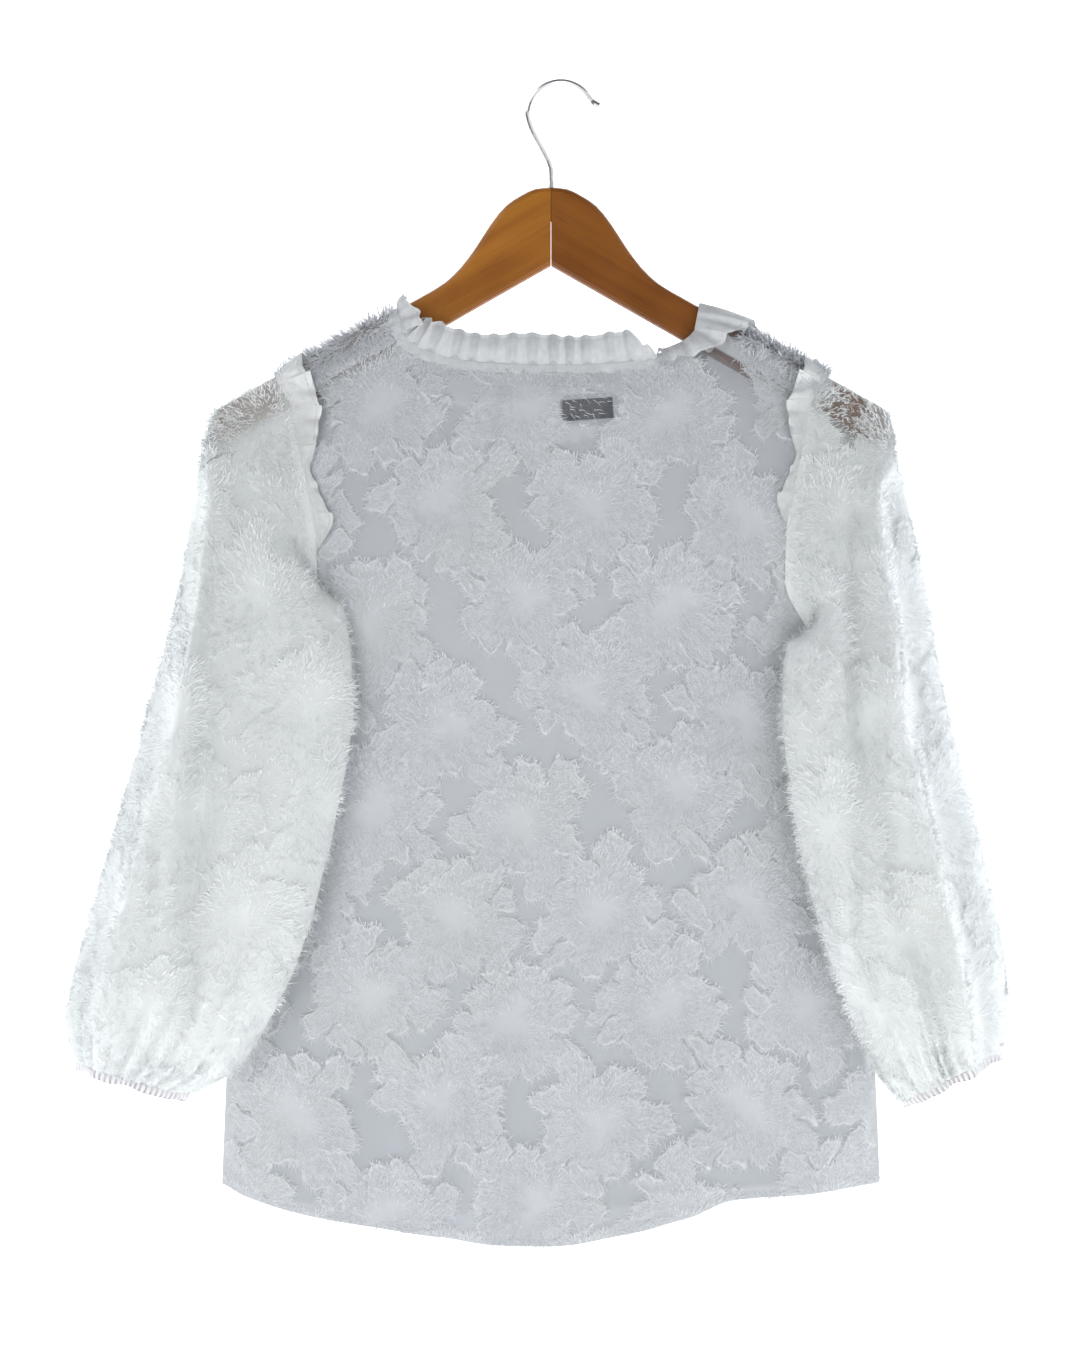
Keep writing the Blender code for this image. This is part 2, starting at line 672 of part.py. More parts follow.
def make_armhole_ruffle(side):
    """A gathered strip sewn into the armhole, pointed at both ends, that lies towards the neck."""
    path = armhole_path(side)
    points = [p for p, _ in path]
    lengths = [(b - a).length for a, b in zip(points, points[1:])]
    total, count = sum(lengths), ARM_RUFFLE_GATHERS * 4
    mesh = bmesh.new()
    rows = [[], [], []]
    for k in range(count + 1):
        want, i = total * k / count, 0
        while i < len(lengths) - 1 and want > lengths[i]:
            want -= lengths[i]
            i += 1
        share = min(1.0, want / lengths[i])
        p = mix(path[i][0], path[i + 1][0], share)
        normal = mix(path[i][1], path[i + 1][1], share).normalized()
        turn = k / count
        inward = Vector((-side, 0, 0.25 * (1 - abs(2 * turn - 1)))).normalized()
        full = 0.10 + 0.90 * soft_step(min(turn, 1 - turn) / ARM_RUFFLE_POINT)
        width = ARM_RUFFLE[side] * full
        over_arm = soft_step(1 - abs(2 * turn - 1) / 0.25)
        base = p + inward * ARM_RUFFLE_SET_IN + normal * (LAP + 0.0003 + ARM_RUFFLE_OVER_ARM * over_arm)
        bump = ARM_RUFFLE_WAVE * gather_wave(turn, ARM_RUFFLE_GATHERS) + ARM_RUFFLE_CLEAR
        for row, reach in zip(rows, (0.0, 0.5, 1.0)):
            lift = reach * (ARM_RUFFLE_SLOPE * width + bump * full)
            row.append(base + inward * (width * reach) + normal * lift)
    grid_faces(mesh, rows)
    return cloth_object("armhole_ruffle_left" if side > 0 else "armhole_ruffle_right", mesh)


def make_label():
    """A small woven label on the inside of the back, made from the back's own surface."""
    wide, tall = LABEL_SIZE
    mesh = bmesh.new()
    rows = []
    for j in range(3):
        row = []
        for i in range(7):
            across, up = wide * (i / 6 - 0.5), tall * (0.5 - j / 2)
            x = LABEL_MIDDLE[0] + across * math.cos(LABEL_TILT) - up * math.sin(LABEL_TILT)
            z = LABEL_MIDDLE[1] + across * math.sin(LABEL_TILT) + up * math.cos(LABEL_TILT)
            depth = body_depth(x, z) - (CLOTH + LABEL_THICK) / 2 - 2 * SEAM_GAP
            row.append(Vector((x, depth, z)))
        rows.append(row)
    grid_faces(mesh, rows)
    return cloth_object("label", mesh, LABEL_THICK)


# Height of the board's top edge, from the middle out to where the arm runs straight
BOARD_TOP = (
    ("x", "z"),
    (0.000, -0.0688),
    (0.010, -0.0698),
    (0.020, -0.0744),
    (0.030, -0.0812),
    (0.040, -0.0935),
    (0.050, -0.1090),
    (0.060, -0.1222),
    (0.070, -0.1318),
    (0.080, -0.1382),
)


def board_top(x):
    straight = RIDGE_AT_NECK - 0.0010 - ARM_SLOPE * (x - NECK_HALF)
    return value_at(BOARD_TOP, "z", x) if x < BOARD_TOP[-1][0] else straight


def board_outline():
    """One arm seen from the front: along its top, round its tip and back under to the mitre."""
    outline = [(MITRE_GAP + x, board_top(x)) for x in [0.005 * i for i in range(17)]]
    outline.append((0.150, board_top(0.150)))
    turn_x = ARM_TIP_X - TIP_ROUND
    top_turn = Vector((turn_x, board_top(turn_x) - TIP_ROUND * math.hypot(1, ARM_SLOPE)))
    low_turn = Vector((turn_x, UNDER_APEX_Z - UNDER_SLOPE * turn_x + TIP_ROUND * math.hypot(1, UNDER_SLOPE)))
    for turn, angles in ((top_turn, (60, 35, 10)), (low_turn, (-20, -50, -85, -119))):
        for angle in angles:
            swing = math.radians(angle)
            outline.append((turn.x + TIP_ROUND * math.cos(swing), turn.y + TIP_ROUND * math.sin(swing)))
    outline.append((MITRE_GAP, UNDER_APEX_Z))
    return outline


def shank_cutter(helpers):
    """The drilled hole that the hook's shank goes down into."""
    mesh = bmesh.new()
    radius = WIRE / 2 + SEAM_GAP
    bmesh.ops.create_cone(
        mesh, cap_ends=True, segments=16, radius1=radius, radius2=radius, depth=0.030
    )
    bmesh.ops.translate(mesh, verts=mesh.verts, vec=(0, 0, SHANK_END_Z - SEAM_GAP + 0.015))
    data = bpy.data.meshes.new("shank_hole")
    mesh.to_mesh(data)
    mesh.free()
    hole = bpy.data.objects.new("shank_hole", data)
    hole.hide_render = True
    hole.display_type = "WIRE"
    helpers.objects.link(hole)
    return hole


def make_arm(side, hole):
    """One half of the hanger's board, rounded along its edges and square at the mitre."""
    mesh = bmesh.new()
    face = mesh.faces.new([mesh.verts.new((side * x, -BOARD / 2, z)) for x, z in board_outline()])
    pushed = bmesh.ops.extrude_face_region(mesh, geom=[face])
    moved = [g for g in pushed["geom"] if isinstance(g, bmesh.types.BMVert)]
    bmesh.ops.translate(mesh, verts=moved, vec=(0, BOARD, 0))
    bmesh.ops.recalc_face_normals(mesh, faces=mesh.faces)
    rims = [
        edge
        for edge in mesh.edges
        if abs(edge.verts[0].co.y - edge.verts[1].co.y) < 1e-6
        and not all(abs(v.co.x) < 2 * MITRE_GAP for v in edge.verts)
    ]
    bmesh.ops.bevel(
        mesh, geom=rims, offset=BOARD_ROUND, segments=2, profile=0.5, affect="EDGES", material=-1,
        clamp_overlap=True,
    )
    name = "hanger_arm_left" if side > 0 else "hanger_arm_right"
    data = bpy.data.meshes.new(name)
    mesh.to_mesh(data)
    mesh.free()
    data.shade_smooth()
    data.set_sharp_from_angle(angle=math.radians(40))
    arm = bpy.data.objects.new(name, data)
    cut = arm.modifiers.new("shank hole", "BOOLEAN")
    cut.operation = "DIFFERENCE"
    cut.object = hole
    return arm


def make_hook():
    """A wire bent into an open loop, with its shank down the middle of the board."""
    middle_x, middle_z = -HANGER_MIDDLE_X, HOOK_RISE - HOOK_RADIUS
    route = [Vector((0, 0, SHANK_END_Z)), Vector((0, 0, -0.075)), Vector((0, 0, SHANK_TOP_Z))]
    route += [Vector((0.0042, 0, -0.0462)), Vector((0.0092, 0, -0.0372)), Vector((0.0130, 0, -0.0295))]
    for degrees in range(0, 156, 10):
        swing = math.radians(degrees)
        route.append(
            Vector((middle_x + HOOK_RADIUS * math.cos(swing), 0, middle_z + HOOK_RADIUS * math.sin(swing)))
        )
    route.append(route[-1] + Vector((-0.0032, 0, -0.0036)))
    route.append(route[-1] + Vector((-0.0030, 0, -0.0016)))
    smooth = spline_through(route, [2] * (len(route) - 1), closed=False)
    data = bpy.data.curves.new("hook", "CURVE")
    data.dimensions = "3D"
    data.bevel_depth = WIRE / 2
    data.bevel_resolution = 2
    data.use_fill_caps = True
    line = data.splines.new("POLY")
    line.points.add(len(smooth) - 1)
    for point, where in zip(line.points, smooth):
        point.co = (*where, 1.0)
        point.radius = 1.0
    for point in line.points[-3:]:
        point.radius = TIP_SWELL
    return bpy.data.objects.new("hook", data)


def main():
    for obj in list(bpy.data.objects):
        bpy.data.objects.remove(obj)
    blouse = bpy.data.collections.new("blouse_on_hanger")
    helpers = bpy.data.collections.new("cutters")
    bpy.context.scene.collection.children.link(blouse)
    bpy.context.scene.collection.children.link(helpers)

    middle = bpy.data.objects.new("hanger_middle", None)
    middle.location.x = HANGER_MIDDLE_X
    blouse.objects.link(middle)

    cloth = material("white_cutwork_cloth", WHITE_CLOTH, 0.85)
    trim = material("white_plain_trim", (0.90, 0.91, 0.91), 0.80)
    woven = material("grey_label", (0.22, 0.23, 0.25), 0.70)
    wood = material("stained_wood", (0.45, 0.20, 0.06), 0.45)
    wire = material("polished_wire", (0.62, 0.62, 0.64), 0.22, metallic=1.0)

    for made in (make_back(), make_front(), make_sleeve(1), make_sleeve(-1)):
        place(made, middle, blouse, cloth)
    trims = [make_neck_band(), make_neck_ruffle()]
    for side in (1, -1):
        trims += [make_cuff(side), make_armhole_ruffle(side)]
    for made in trims:
        place(made, middle, blouse, trim)
    place(make_label(), middle, blouse, woven)

    hole = shank_cutter(helpers)
    hole.parent = middle
    for side in (1, -1):
        place(make_arm(side, hole), middle, blouse, wood)
    place(make_hook(), middle, blouse, wire)


main()
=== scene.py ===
# %% [markdown]
# # A ruffled blouse of clipped-thread cloth on a wooden hanger
# The imported model is loaded first. It is the fixed frame: every piece below is made to lie on it, and the
# hanger's middle, which the cloth's sizes are measured from, is read from its nodes. Z is up, the blouse's
# front faces -Y, and the camera looks at its back from +Y.

# %% Load the frame
import math

import bmesh
import bpy
import numpy as np
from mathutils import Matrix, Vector


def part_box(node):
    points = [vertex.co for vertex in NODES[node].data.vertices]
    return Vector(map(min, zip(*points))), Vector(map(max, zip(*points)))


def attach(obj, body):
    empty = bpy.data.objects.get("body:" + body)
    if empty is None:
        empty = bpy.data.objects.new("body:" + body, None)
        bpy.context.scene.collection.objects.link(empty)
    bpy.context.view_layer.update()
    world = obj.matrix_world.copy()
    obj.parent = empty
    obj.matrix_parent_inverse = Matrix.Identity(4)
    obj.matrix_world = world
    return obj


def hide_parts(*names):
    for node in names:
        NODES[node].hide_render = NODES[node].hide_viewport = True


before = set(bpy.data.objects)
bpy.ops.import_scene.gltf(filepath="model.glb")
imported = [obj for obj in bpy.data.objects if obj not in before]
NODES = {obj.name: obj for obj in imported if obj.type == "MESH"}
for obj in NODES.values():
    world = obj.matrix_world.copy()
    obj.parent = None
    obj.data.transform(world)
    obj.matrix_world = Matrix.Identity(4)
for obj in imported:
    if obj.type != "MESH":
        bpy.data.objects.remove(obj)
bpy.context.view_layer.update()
MIDDLE_X = (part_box("hanger_arm_left")[0][0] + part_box("hanger_arm_right")[1][0]) / 2
print("hanger's middle at x =", round(MIDDLE_X, 4), "with nodes", sorted(NODES))

# %% [markdown]
# ## Camera, light and backdrop
# A garment is photographed square on, from far away, so that its outline isn't distorted. One pixel of the
# photograph is 0.664 mm on the cloth, and the photograph is 1350 of them tall, which gives the camera's field
# of view. A long lens a few metres away keeps the two sleeves the same size.

# %% Camera
PHOTO_HEIGHT, PIXEL = 1350, 0.000664
VIEW_MIDDLE = Vector((MIDDLE_X + 0.0073, 0.0, -0.3924))
CAMERA_DISTANCE = 3.2
SENSOR_HEIGHT = 24.0
HANGER_MIDDLE = np.array((MIDDLE_X, 0, 0))
scene = bpy.context.scene


def placed(name, data):
    """A new object in the scene."""
    made = bpy.data.objects.new(name, data)
    scene.collection.objects.link(made)
    return made


lens_data = bpy.data.cameras.new("camera")
lens_data.sensor_fit = "VERTICAL"
lens_data.sensor_height = SENSOR_HEIGHT
lens_data.lens = SENSOR_HEIGHT * CAMERA_DISTANCE / (PHOTO_HEIGHT * PIXEL)
camera = placed("camera", lens_data)
camera.location = VIEW_MIDDLE + Vector((0, CAMERA_DISTANCE, 0))
camera.rotation_euler = (math.radians(90), 0, math.radians(180))
scene.camera = camera
print("lens", round(lens_data.lens, 1), "mm")

# %% [markdown]
# A shader does its sums with one Math node for each step. A few helpers keep that readable: calc adds
# a Math node and returns its result, and group_of starts a node group with named sockets. The others are as
# short: each makes one kind of node and returns what comes out of it.

# %% Node helpers
def shade(name, colour, roughness, metallic=0.0):
    """A plain material and its Principled shader."""
    made = bpy.data.materials.new(name)
    made.use_nodes = True
    shader = made.node_tree.nodes["Principled BSDF"]
    shader.inputs["Base Color"].default_value = (*colour, 1.0)
    shader.inputs["Roughness"].default_value = roughness
    shader.inputs["Metallic"].default_value = metallic
    return made, shader


def wire(tree, value, socket):
    if isinstance(value, bpy.types.NodeSocket):
        tree.links.new(value, socket)
    else:
        socket.default_value = value


def calc(tree, operation, *values, clamp=False):
    made = tree.nodes.new("ShaderNodeMath")
    made.operation = operation
    made.use_clamp = clamp
    for value, socket in zip(values, made.inputs):
        wire(tree, value, socket)
    return made.outputs[0]


def group_of(name, inputs, outputs):
    """A node group: {socket name: (type, default)} in, {socket name: type} out."""
    tree = bpy.data.node_groups.new(name, "ShaderNodeTree")
    for label, (kind, value) in inputs.items():
        socket = tree.interface.new_socket(label, in_out="INPUT", socket_type="NodeSocket" + kind)
        if value is not None:
            socket.default_value = value
    for label, kind in outputs.items():
        tree.interface.new_socket(label, in_out="OUTPUT", socket_type="NodeSocket" + kind)
    return tree, tree.nodes.new("NodeGroupInput").outputs, tree.nodes.new("NodeGroupOutput").inputs


def use_group(tree, group, **values):
    made = tree.nodes.new("ShaderNodeGroup")
    made.node_tree = group
    for label, value in values.items():
        wire(tree, value, made.inputs[label.replace("_", " ")])
    return made.outputs


def parts_of(tree, vector):
    """The three numbers of a vector."""
    made = tree.nodes.new("ShaderNodeSeparateXYZ")
    tree.links.new(vector, made.inputs[0])
    return made.outputs


def sine_of(tree, value, rate):
    return calc(tree, "SINE", calc(tree, "MULTIPLY", value, rate))


def mapped(tree, vector, **settings):
    """A vector after moving, turning or stretching it."""
    made = tree.nodes.new("ShaderNodeMapping")
    for label, value in settings.items():
        made.inputs[label].default_value = value
    tree.links.new(vector, made.inputs["Vector"])
    return made.outputs[0]


def noise(tree, vector, scale, detail=2.0, roughness=0.5, curl=0.0):
    made = tree.nodes.new("ShaderNodeTexNoise")
    wire(tree, vector, made.inputs["Vector"])
    made.inputs["Scale"].default_value = scale
    made.inputs["Detail"].default_value = detail
    made.inputs["Roughness"].default_value = roughness
    made.inputs["Distortion"].default_value = curl
    return made.outputs["Fac"]


def combine(tree, x, y, z=0.0):
    made = tree.nodes.new("ShaderNodeCombineXYZ")
    for value, socket in zip((x, y, z), made.inputs):
        wire(tree, value, socket)
    return made.outputs[0]


def blend_colours(tree, share, first, second):
    made = tree.nodes.new("ShaderNodeMix")
    made.data_type = "RGBA"
    wire(tree, share, made.inputs["Factor"])
    wire(tree, first, made.inputs[6])
    wire(tree, second, made.inputs[7])
    return made.outputs[2]


def blend_values(tree, share, first, second):
    made = tree.nodes.new("ShaderNodeMix")
    made.data_type = "FLOAT"
    for value, socket in zip((share, first, second), made.inputs[:1] + made.inputs[2:4]):
        wire(tree, value, socket)
    return made.outputs[0]


print("node helpers ready")

# %% [markdown]
# The backdrop is one sheet of studio paper: a floor that curves up into a wall behind the blouse. A profile
# is drawn once and extruded sideways. Paper has no hard corner, so the bend is an arc. The photograph's
# background is whiter than the studio behind the cloth was, so the paper glows where it is seen directly,
# and where it is seen through cloth it is painted a darker grey: painted shade.

# %% Backdrop
FLOOR_Z, FLOOR_END_Y = -1.05, 5.0
WALL_Y, WALL_TOP_Z = -0.75, 2.5
PAPER_BEND, PAPER_WIDTH = 0.5, 6.0
WHITE = (1.0, 1.0, 1.0)
PAPER, PAPER_SHADE_THROUGH_CLOTH = (0.93, 0.93, 0.93), (0.50, 0.51, 0.53)
SEEN_GLOW = 0.85


def sweep_of_paper():
    mesh = bmesh.new()
    side = -PAPER_WIDTH / 2
    profile = [Vector((side, FLOOR_END_Y, FLOOR_Z)), Vector((side, WALL_Y + PAPER_BEND, FLOOR_Z))]
    for degrees in range(10, 91, 10):
        turn = math.radians(degrees)
        y = WALL_Y + PAPER_BEND * (1 - math.sin(turn))
        profile.append(Vector((side, y, FLOOR_Z + PAPER_BEND * (1 - math.cos(turn)))))
    profile.append(Vector((side, WALL_Y, WALL_TOP_Z)))
    verts = [mesh.verts.new(p) for p in profile]
    edges = [mesh.edges.new(pair) for pair in zip(verts, verts[1:])]
    wide = bmesh.ops.extrude_edge_only(mesh, edges=edges)
    moved = [g for g in wide["geom"] if isinstance(g, bmesh.types.BMVert)]
    bmesh.ops.translate(mesh, verts=moved, vec=(PAPER_WIDTH, 0, 0))
    bmesh.ops.recalc_face_normals(mesh, faces=mesh.faces)
    data = bpy.data.meshes.new("backdrop")
    mesh.to_mesh(data)
    mesh.free()
    data.shade_smooth()
    return data


def studio_paper():
    """White paper that glows where it is seen directly and is painted darker, as painted shade, where it is
    seen through cloth.
    """
    made, shader = shade("backdrop_paper", PAPER, 0.9)
    tree = made.node_tree
    paths = tree.nodes.new("ShaderNodeLightPath")
    direct = calc(tree, "LESS_THAN", paths.outputs["Transparent Depth"], 0.5)
    # Painted shade: paper seen through cloth takes the darker grey and no glow.
    tint = blend_colours(tree, direct, (*PAPER_SHADE_THROUGH_CLOTH, 1.0), (*PAPER, 1.0))
    tree.links.new(tint, shader.inputs["Base Color"])
    shader.inputs["Emission Color"].default_value = (*WHITE, 1.0)
    tree.links.new(calc(tree, "MULTIPLY", direct, SEEN_GLOW), shader.inputs["Emission Strength"])
    return made


backdrop = placed("backdrop", sweep_of_paper())
backdrop.data.materials.append(studio_paper())
print("backdrop", len(backdrop.data.polygons), "faces")

# %% [markdown]
# Soft light: one wide key above and to the left and a weaker fill on the right, so that the folds stay
# readable without hard shadows. A low one in front lies mostly under the paper, and only its upper rim grazes
# the hem. Two smaller, bluish lights beside the sleeves and a little behind them brighten their outer edges,
# where the real cloth lets the daylight through. Real thin cloth also passes soft light to its inside. A weak
# lamp between the two body panels does that here, and the camera doesn't see the lamp itself.

# %% Lights
LIGHTS = (
    ("name", "place", "size", "power"),
    ("key", (1.5, 2.3, 1.1), 1.8, 20.0),
    ("fill", (-1.7, 2.2, 0.9), 1.8, 10.5),
    ("low_fill", (0.05, 0.95, -1.30), 1.0, 12.0),
    ("edge_left", (1.5, -0.30, -0.2), 0.9, 9.0),
    ("edge_right", (-1.5, -0.30, -0.2), 0.9, 14.0),
)
INSIDE_SIZE, INSIDE_POWER, INSIDE_Y, INSIDE_Z = (0.24, 0.40), 0.075, 0.012, -0.48
EDGE_TINT = (0.90, 0.94, 1.0)
ROOM_TINT, ROOM_LIGHT = (0.90, 0.94, 1.0), 0.27


def area_lamp(name, place, shape, power):
    data = bpy.data.lights.new(name, "AREA")
    data.shape = shape
    data.energy = power
    made = placed(name, data)
    made.location = place
    return made


for name, place, size, power in LIGHTS[1:]:
    lamp = area_lamp(name, place, "DISK", power)
    lamp.data.size = size
    lamp.data.color = EDGE_TINT if name.startswith("edge") else WHITE
    lamp.rotation_euler = (VIEW_MIDDLE - lamp.location).to_track_quat("-Z", "Y").to_euler()
inside = area_lamp("inside", (MIDDLE_X, INSIDE_Y, INSIDE_Z), "RECTANGLE", INSIDE_POWER)
inside.data.size, inside.data.size_y = INSIDE_SIZE
inside.rotation_euler = (math.radians(-90), 0, 0)
inside.visible_camera = False
world = bpy.data.worlds.new("studio")
world.use_nodes = True
world.node_tree.nodes["Background"].inputs["Color"].default_value = (*ROOM_TINT, 1.0)
world.node_tree.nodes["Background"].inputs["Strength"].default_value = ROOM_LIGHT
scene.world = world
scene.view_settings.view_transform = "Standard"
print(len(LIGHTS) - 1, "lights")

# %% [markdown]
# ## Smooth curves from short tables
# A tailor writes a pattern down as a few measured sizes and draws smooth lines through them. The tables
# below do the same. A curve through a table's rows has to stay between them, because a seam that swings
# past its marks makes the cloth cross itself. Monotone cubic steps do that.

# %% Curve helpers
def soft_step(t):
    t = np.clip(t, 0.0, 1.0)
    return t * t * (3 - 2 * t)


def mix(a, b, share):
    return a + (b - a) * share


def read(table, column, places):
    """A table's column at many places along its first column, on a smooth curve between its rows."""
    rows = np.array(sorted(table[1:]), dtype=float)
    x, y = rows[:, 0], rows[:, table[0].index(column)]
    steps = np.diff(x)
    slopes = np.diff(y) / steps
    before, after = slopes[:-1], slopes[1:]
    flat = before * after <= 0
    inner = np.where(flat, 0.0, 2 * before * after / np.where(flat, 1.0, before + after))
    tangents = np.concatenate(([slopes[0]], inner, [slopes[-1]]))
    places = np.clip(np.asarray(places, dtype=float), x[0], x[-1])
    i = np.clip(np.searchsorted(x, places, side="right") - 1, 0, len(steps) - 1)
    t = (places - x[i]) / steps[i]
    bend = steps[i] * (tangents[i] * t * (1 - t) ** 2 - tangents[i + 1] * t * t * (1 - t))
    return mix(y[i], y[i + 1], t * t * (3 - 2 * t)) + bend


print("curve helpers ready")

# %% [markdown]
# ## The body's sizes
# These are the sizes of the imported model, in metres about the hanger's middle: how wide the body is at
# each height, how deep at its side edge and in its middle, and where its hem runs.

# %% Body tables
CLOTH = 0.0012
LAP = CLOTH + 0.0003
NECK_HALF, NECK_TOP_Z = 0.105, -0.1548
BACK_NECK = (0.0373, 2.6)
FRONT_NECK = (0.104, 2.0)
ARM_SLOPE, RIDGE_AT_NECK, RIDGE_LIFT, RIDGE_HALF = 0.56, -0.1512, 0.0002, 0.0045
HUG_DROP, HUG_DEPTH, HUG_SPREAD, SEAM_DROP = 0.003, 0.0076, 0.08, 0.0155
LENS_POWER, HUG_ENDS, LENS_BEGINS = 2.2, 0.012, 0.050
FOLDS_END_Z, FAN_AT_TOP, FLAT_AT_SIDES = -0.74, 0.9, 6
UNDERARM_Z = -0.388
BODY = (
    ("z", "half_width", "edge_depth", "middle_depth"),
    (-0.150, 0.1840, 0.00840, 0.0100),
    (-0.194, 0.1830, 0.00840, 0.0180),
    (-0.215, 0.1715, 0.01000, 0.0220),
    (-0.240, 0.1680, 0.01500, 0.0250),
    (-0.270, 0.1620, 0.02000, 0.0275),
    (-0.300, 0.1565, 0.02250, 0.0300),
    (-0.330, 0.1560, 0.02150, 0.0315),
    (-0.360, 0.1700, 0.01500, 0.0325),
    (-0.380, 0.1900, 0.00600, 0.0330),
    (-0.388, 0.2020, 0.00075, 0.0332),
    (-0.450, 0.2050, 0.00075, 0.0345),
    (-0.600, 0.2130, 0.00075, 0.0360),
    (-0.770, 0.2200, 0.00075, 0.0380),
)
HEM = (
    ("x", "back", "front"),
    (-0.220, -0.7290, -0.7290),
    (-0.165, -0.7360, -0.7330),
    (-0.120, -0.7390, -0.7390),
    (-0.090, -0.7490, -0.7440),
    (-0.050, -0.7590, -0.7500),
    (0.000, -0.7680, -0.7560),
    (0.075, -0.7620, -0.7550),
    (0.150, -0.7510, -0.7480),
    (0.200, -0.7390, -0.7380),
    (0.222, -0.7280, -0.7290),
)
BACK_FOLDS = (
    ("x", "half_width", "depth", "top_z"),
    (0.165, 0.024, 0.0045, -0.560),
    (0.112, 0.026, -0.0060, -0.420),
    (0.066, 0.012, -0.0040, -0.440),
    (0.044, 0.018, 0.0075, -0.500),
    (0.000, 0.022, -0.0045, -0.540),
    (-0.059, 0.016, 0.0080, -0.560),
    (-0.094, 0.014, 0.0055, -0.600),
    (-0.135, 0.026, -0.0065, -0.480),
    (-0.180, 0.020, 0.0050, -0.620),
)
FRONT_FOLDS = (
    ("x", "half_width", "depth", "top_z"),
    (0.150, 0.024, 0.0055, -0.500),
    (0.100, 0.022, -0.0060, -0.420),
    (0.052, 0.020, 0.0070, -0.460),
    (0.008, 0.022, -0.0050, -0.380),
    (-0.040, 0.018, 0.0065, -0.500),
    (-0.086, 0.022, -0.0060, -0.430),
    (-0.140, 0.026, 0.0060, -0.520),
)
print("body tables:", len(BODY) - 1, "heights,", len(BACK_FOLDS) - 1, "back folds")


# %% Where the body's cloth lies
def ridge(x):
    """Height of the cloth along an arm's top, level between the arms."""
    return RIDGE_AT_NECK - ARM_SLOPE * np.maximum(0.0, np.abs(x) - NECK_HALF)


def half_width(z):
    return read(BODY, "half_width", z)


def body_depth(x, z):
    """Distance of the smooth body cloth from the hanger's plane."""
    drop = ridge(x) - z
    across = np.minimum(1.0, np.abs(x) / half_width(z))
    lens = mix(read(BODY, "edge_depth", z), read(BODY, "middle_depth", z), 1 - across**LENS_POWER)
    hug = HUG_DEPTH + HUG_SPREAD * (drop - HUG_DROP)
    return mix(hug, lens, soft_step((drop - HUG_ENDS) / LENS_BEGINS))


def fold_depth(folds, x, z):
    """How far the hanging folds push the cloth out, from nothing at each fold's top to all at the hem."""
    total = np.zeros_like(x)
    for middle, wide, depth, top in folds[1:]:
        share = soft_step((top - z) / (top - FOLDS_END_Z))
        fan = middle * mix(FAN_AT_TOP, 1.0, share)
        total += depth * share * np.exp(-(((x - fan) / wide) ** 2))
    return total * (1 - np.minimum(1.0, np.abs(x) / half_width(z)) ** FLAT_AT_SIDES)


def neck_height(x, drop, power):
    share = np.minimum(1.0, np.abs(x) / NECK_HALF)
    return NECK_TOP_Z - drop * (1 - share**power) ** (1 / power)


def neck_half_at(z, drop, power):
    down = np.clip((NECK_TOP_Z - z) / drop, 0.0, 1.0)
    return NECK_HALF * (1 - down**power) ** (1 / power)


def armhole_x(drop):
    """Where the armhole crosses the line this far below the arm's ridge."""
    x = half_width(RIDGE_AT_NECK)
    for _ in range(40):
        x = half_width(ridge(x) - drop)
    return float(x)


print("armhole reaches the shoulder seam at x =", round(armhole_x(SEAM_DROP), 4))

# %% [markdown]
# ## The flowered cloth
# The cloth is woven with large scalloped flowers. Between them it is plain and sheer, and inside the petals
# the extra threads are clipped, so that they stand up as short lashes. A weaver repeats one flower like
# bricks: every second row is moved sideways by half a repeat. Cloth is never quite straight on a loom or on
# a hanger, so slow waves bend the rows. The same rule is written twice here, once for numbers and once as
# shader nodes, so that relief, threads and colour all fall on the same petals.

# %% One flower, as numbers
REPEAT, ROW = 0.0984, 0.0664
START = (0.0299, 0.2815)
BEND, BEND_ACROSS, BEND_DOWN = 0.0040, 29.0, 23.0
WOBBLE, WOBBLE_ACROSS, WOBBLE_DOWN = 0.0040, 168.0, 143.0
RAG, RAG_ACROSS, RAG_DOWN = 0.0013, 530.0, 470.0
PETALS, LOBE_OUT, LOBE_RADIUS, DISC = 10, 0.0318, 0.0116, 0.0300
LOBE_STEP = math.tau / PETALS
LOBE_VARIES = (0.20, 0.26)
EYE_RADIUS, EYE_VARIES, EYE_SOFT = 0.0050, 0.30, 0.0150
JITTER_ACROSS, JITTER_DOWN = (0.0040, 3.1), (0.0100, 5.3)
TURNS = (1.9, 2.7, 1.1)
EDGE_SOFT, RIM_IN, RIM_WIDE = 0.0010, 0.0013, 0.0014
RIM_FROM, RIM_FADE = 0.024, 0.006


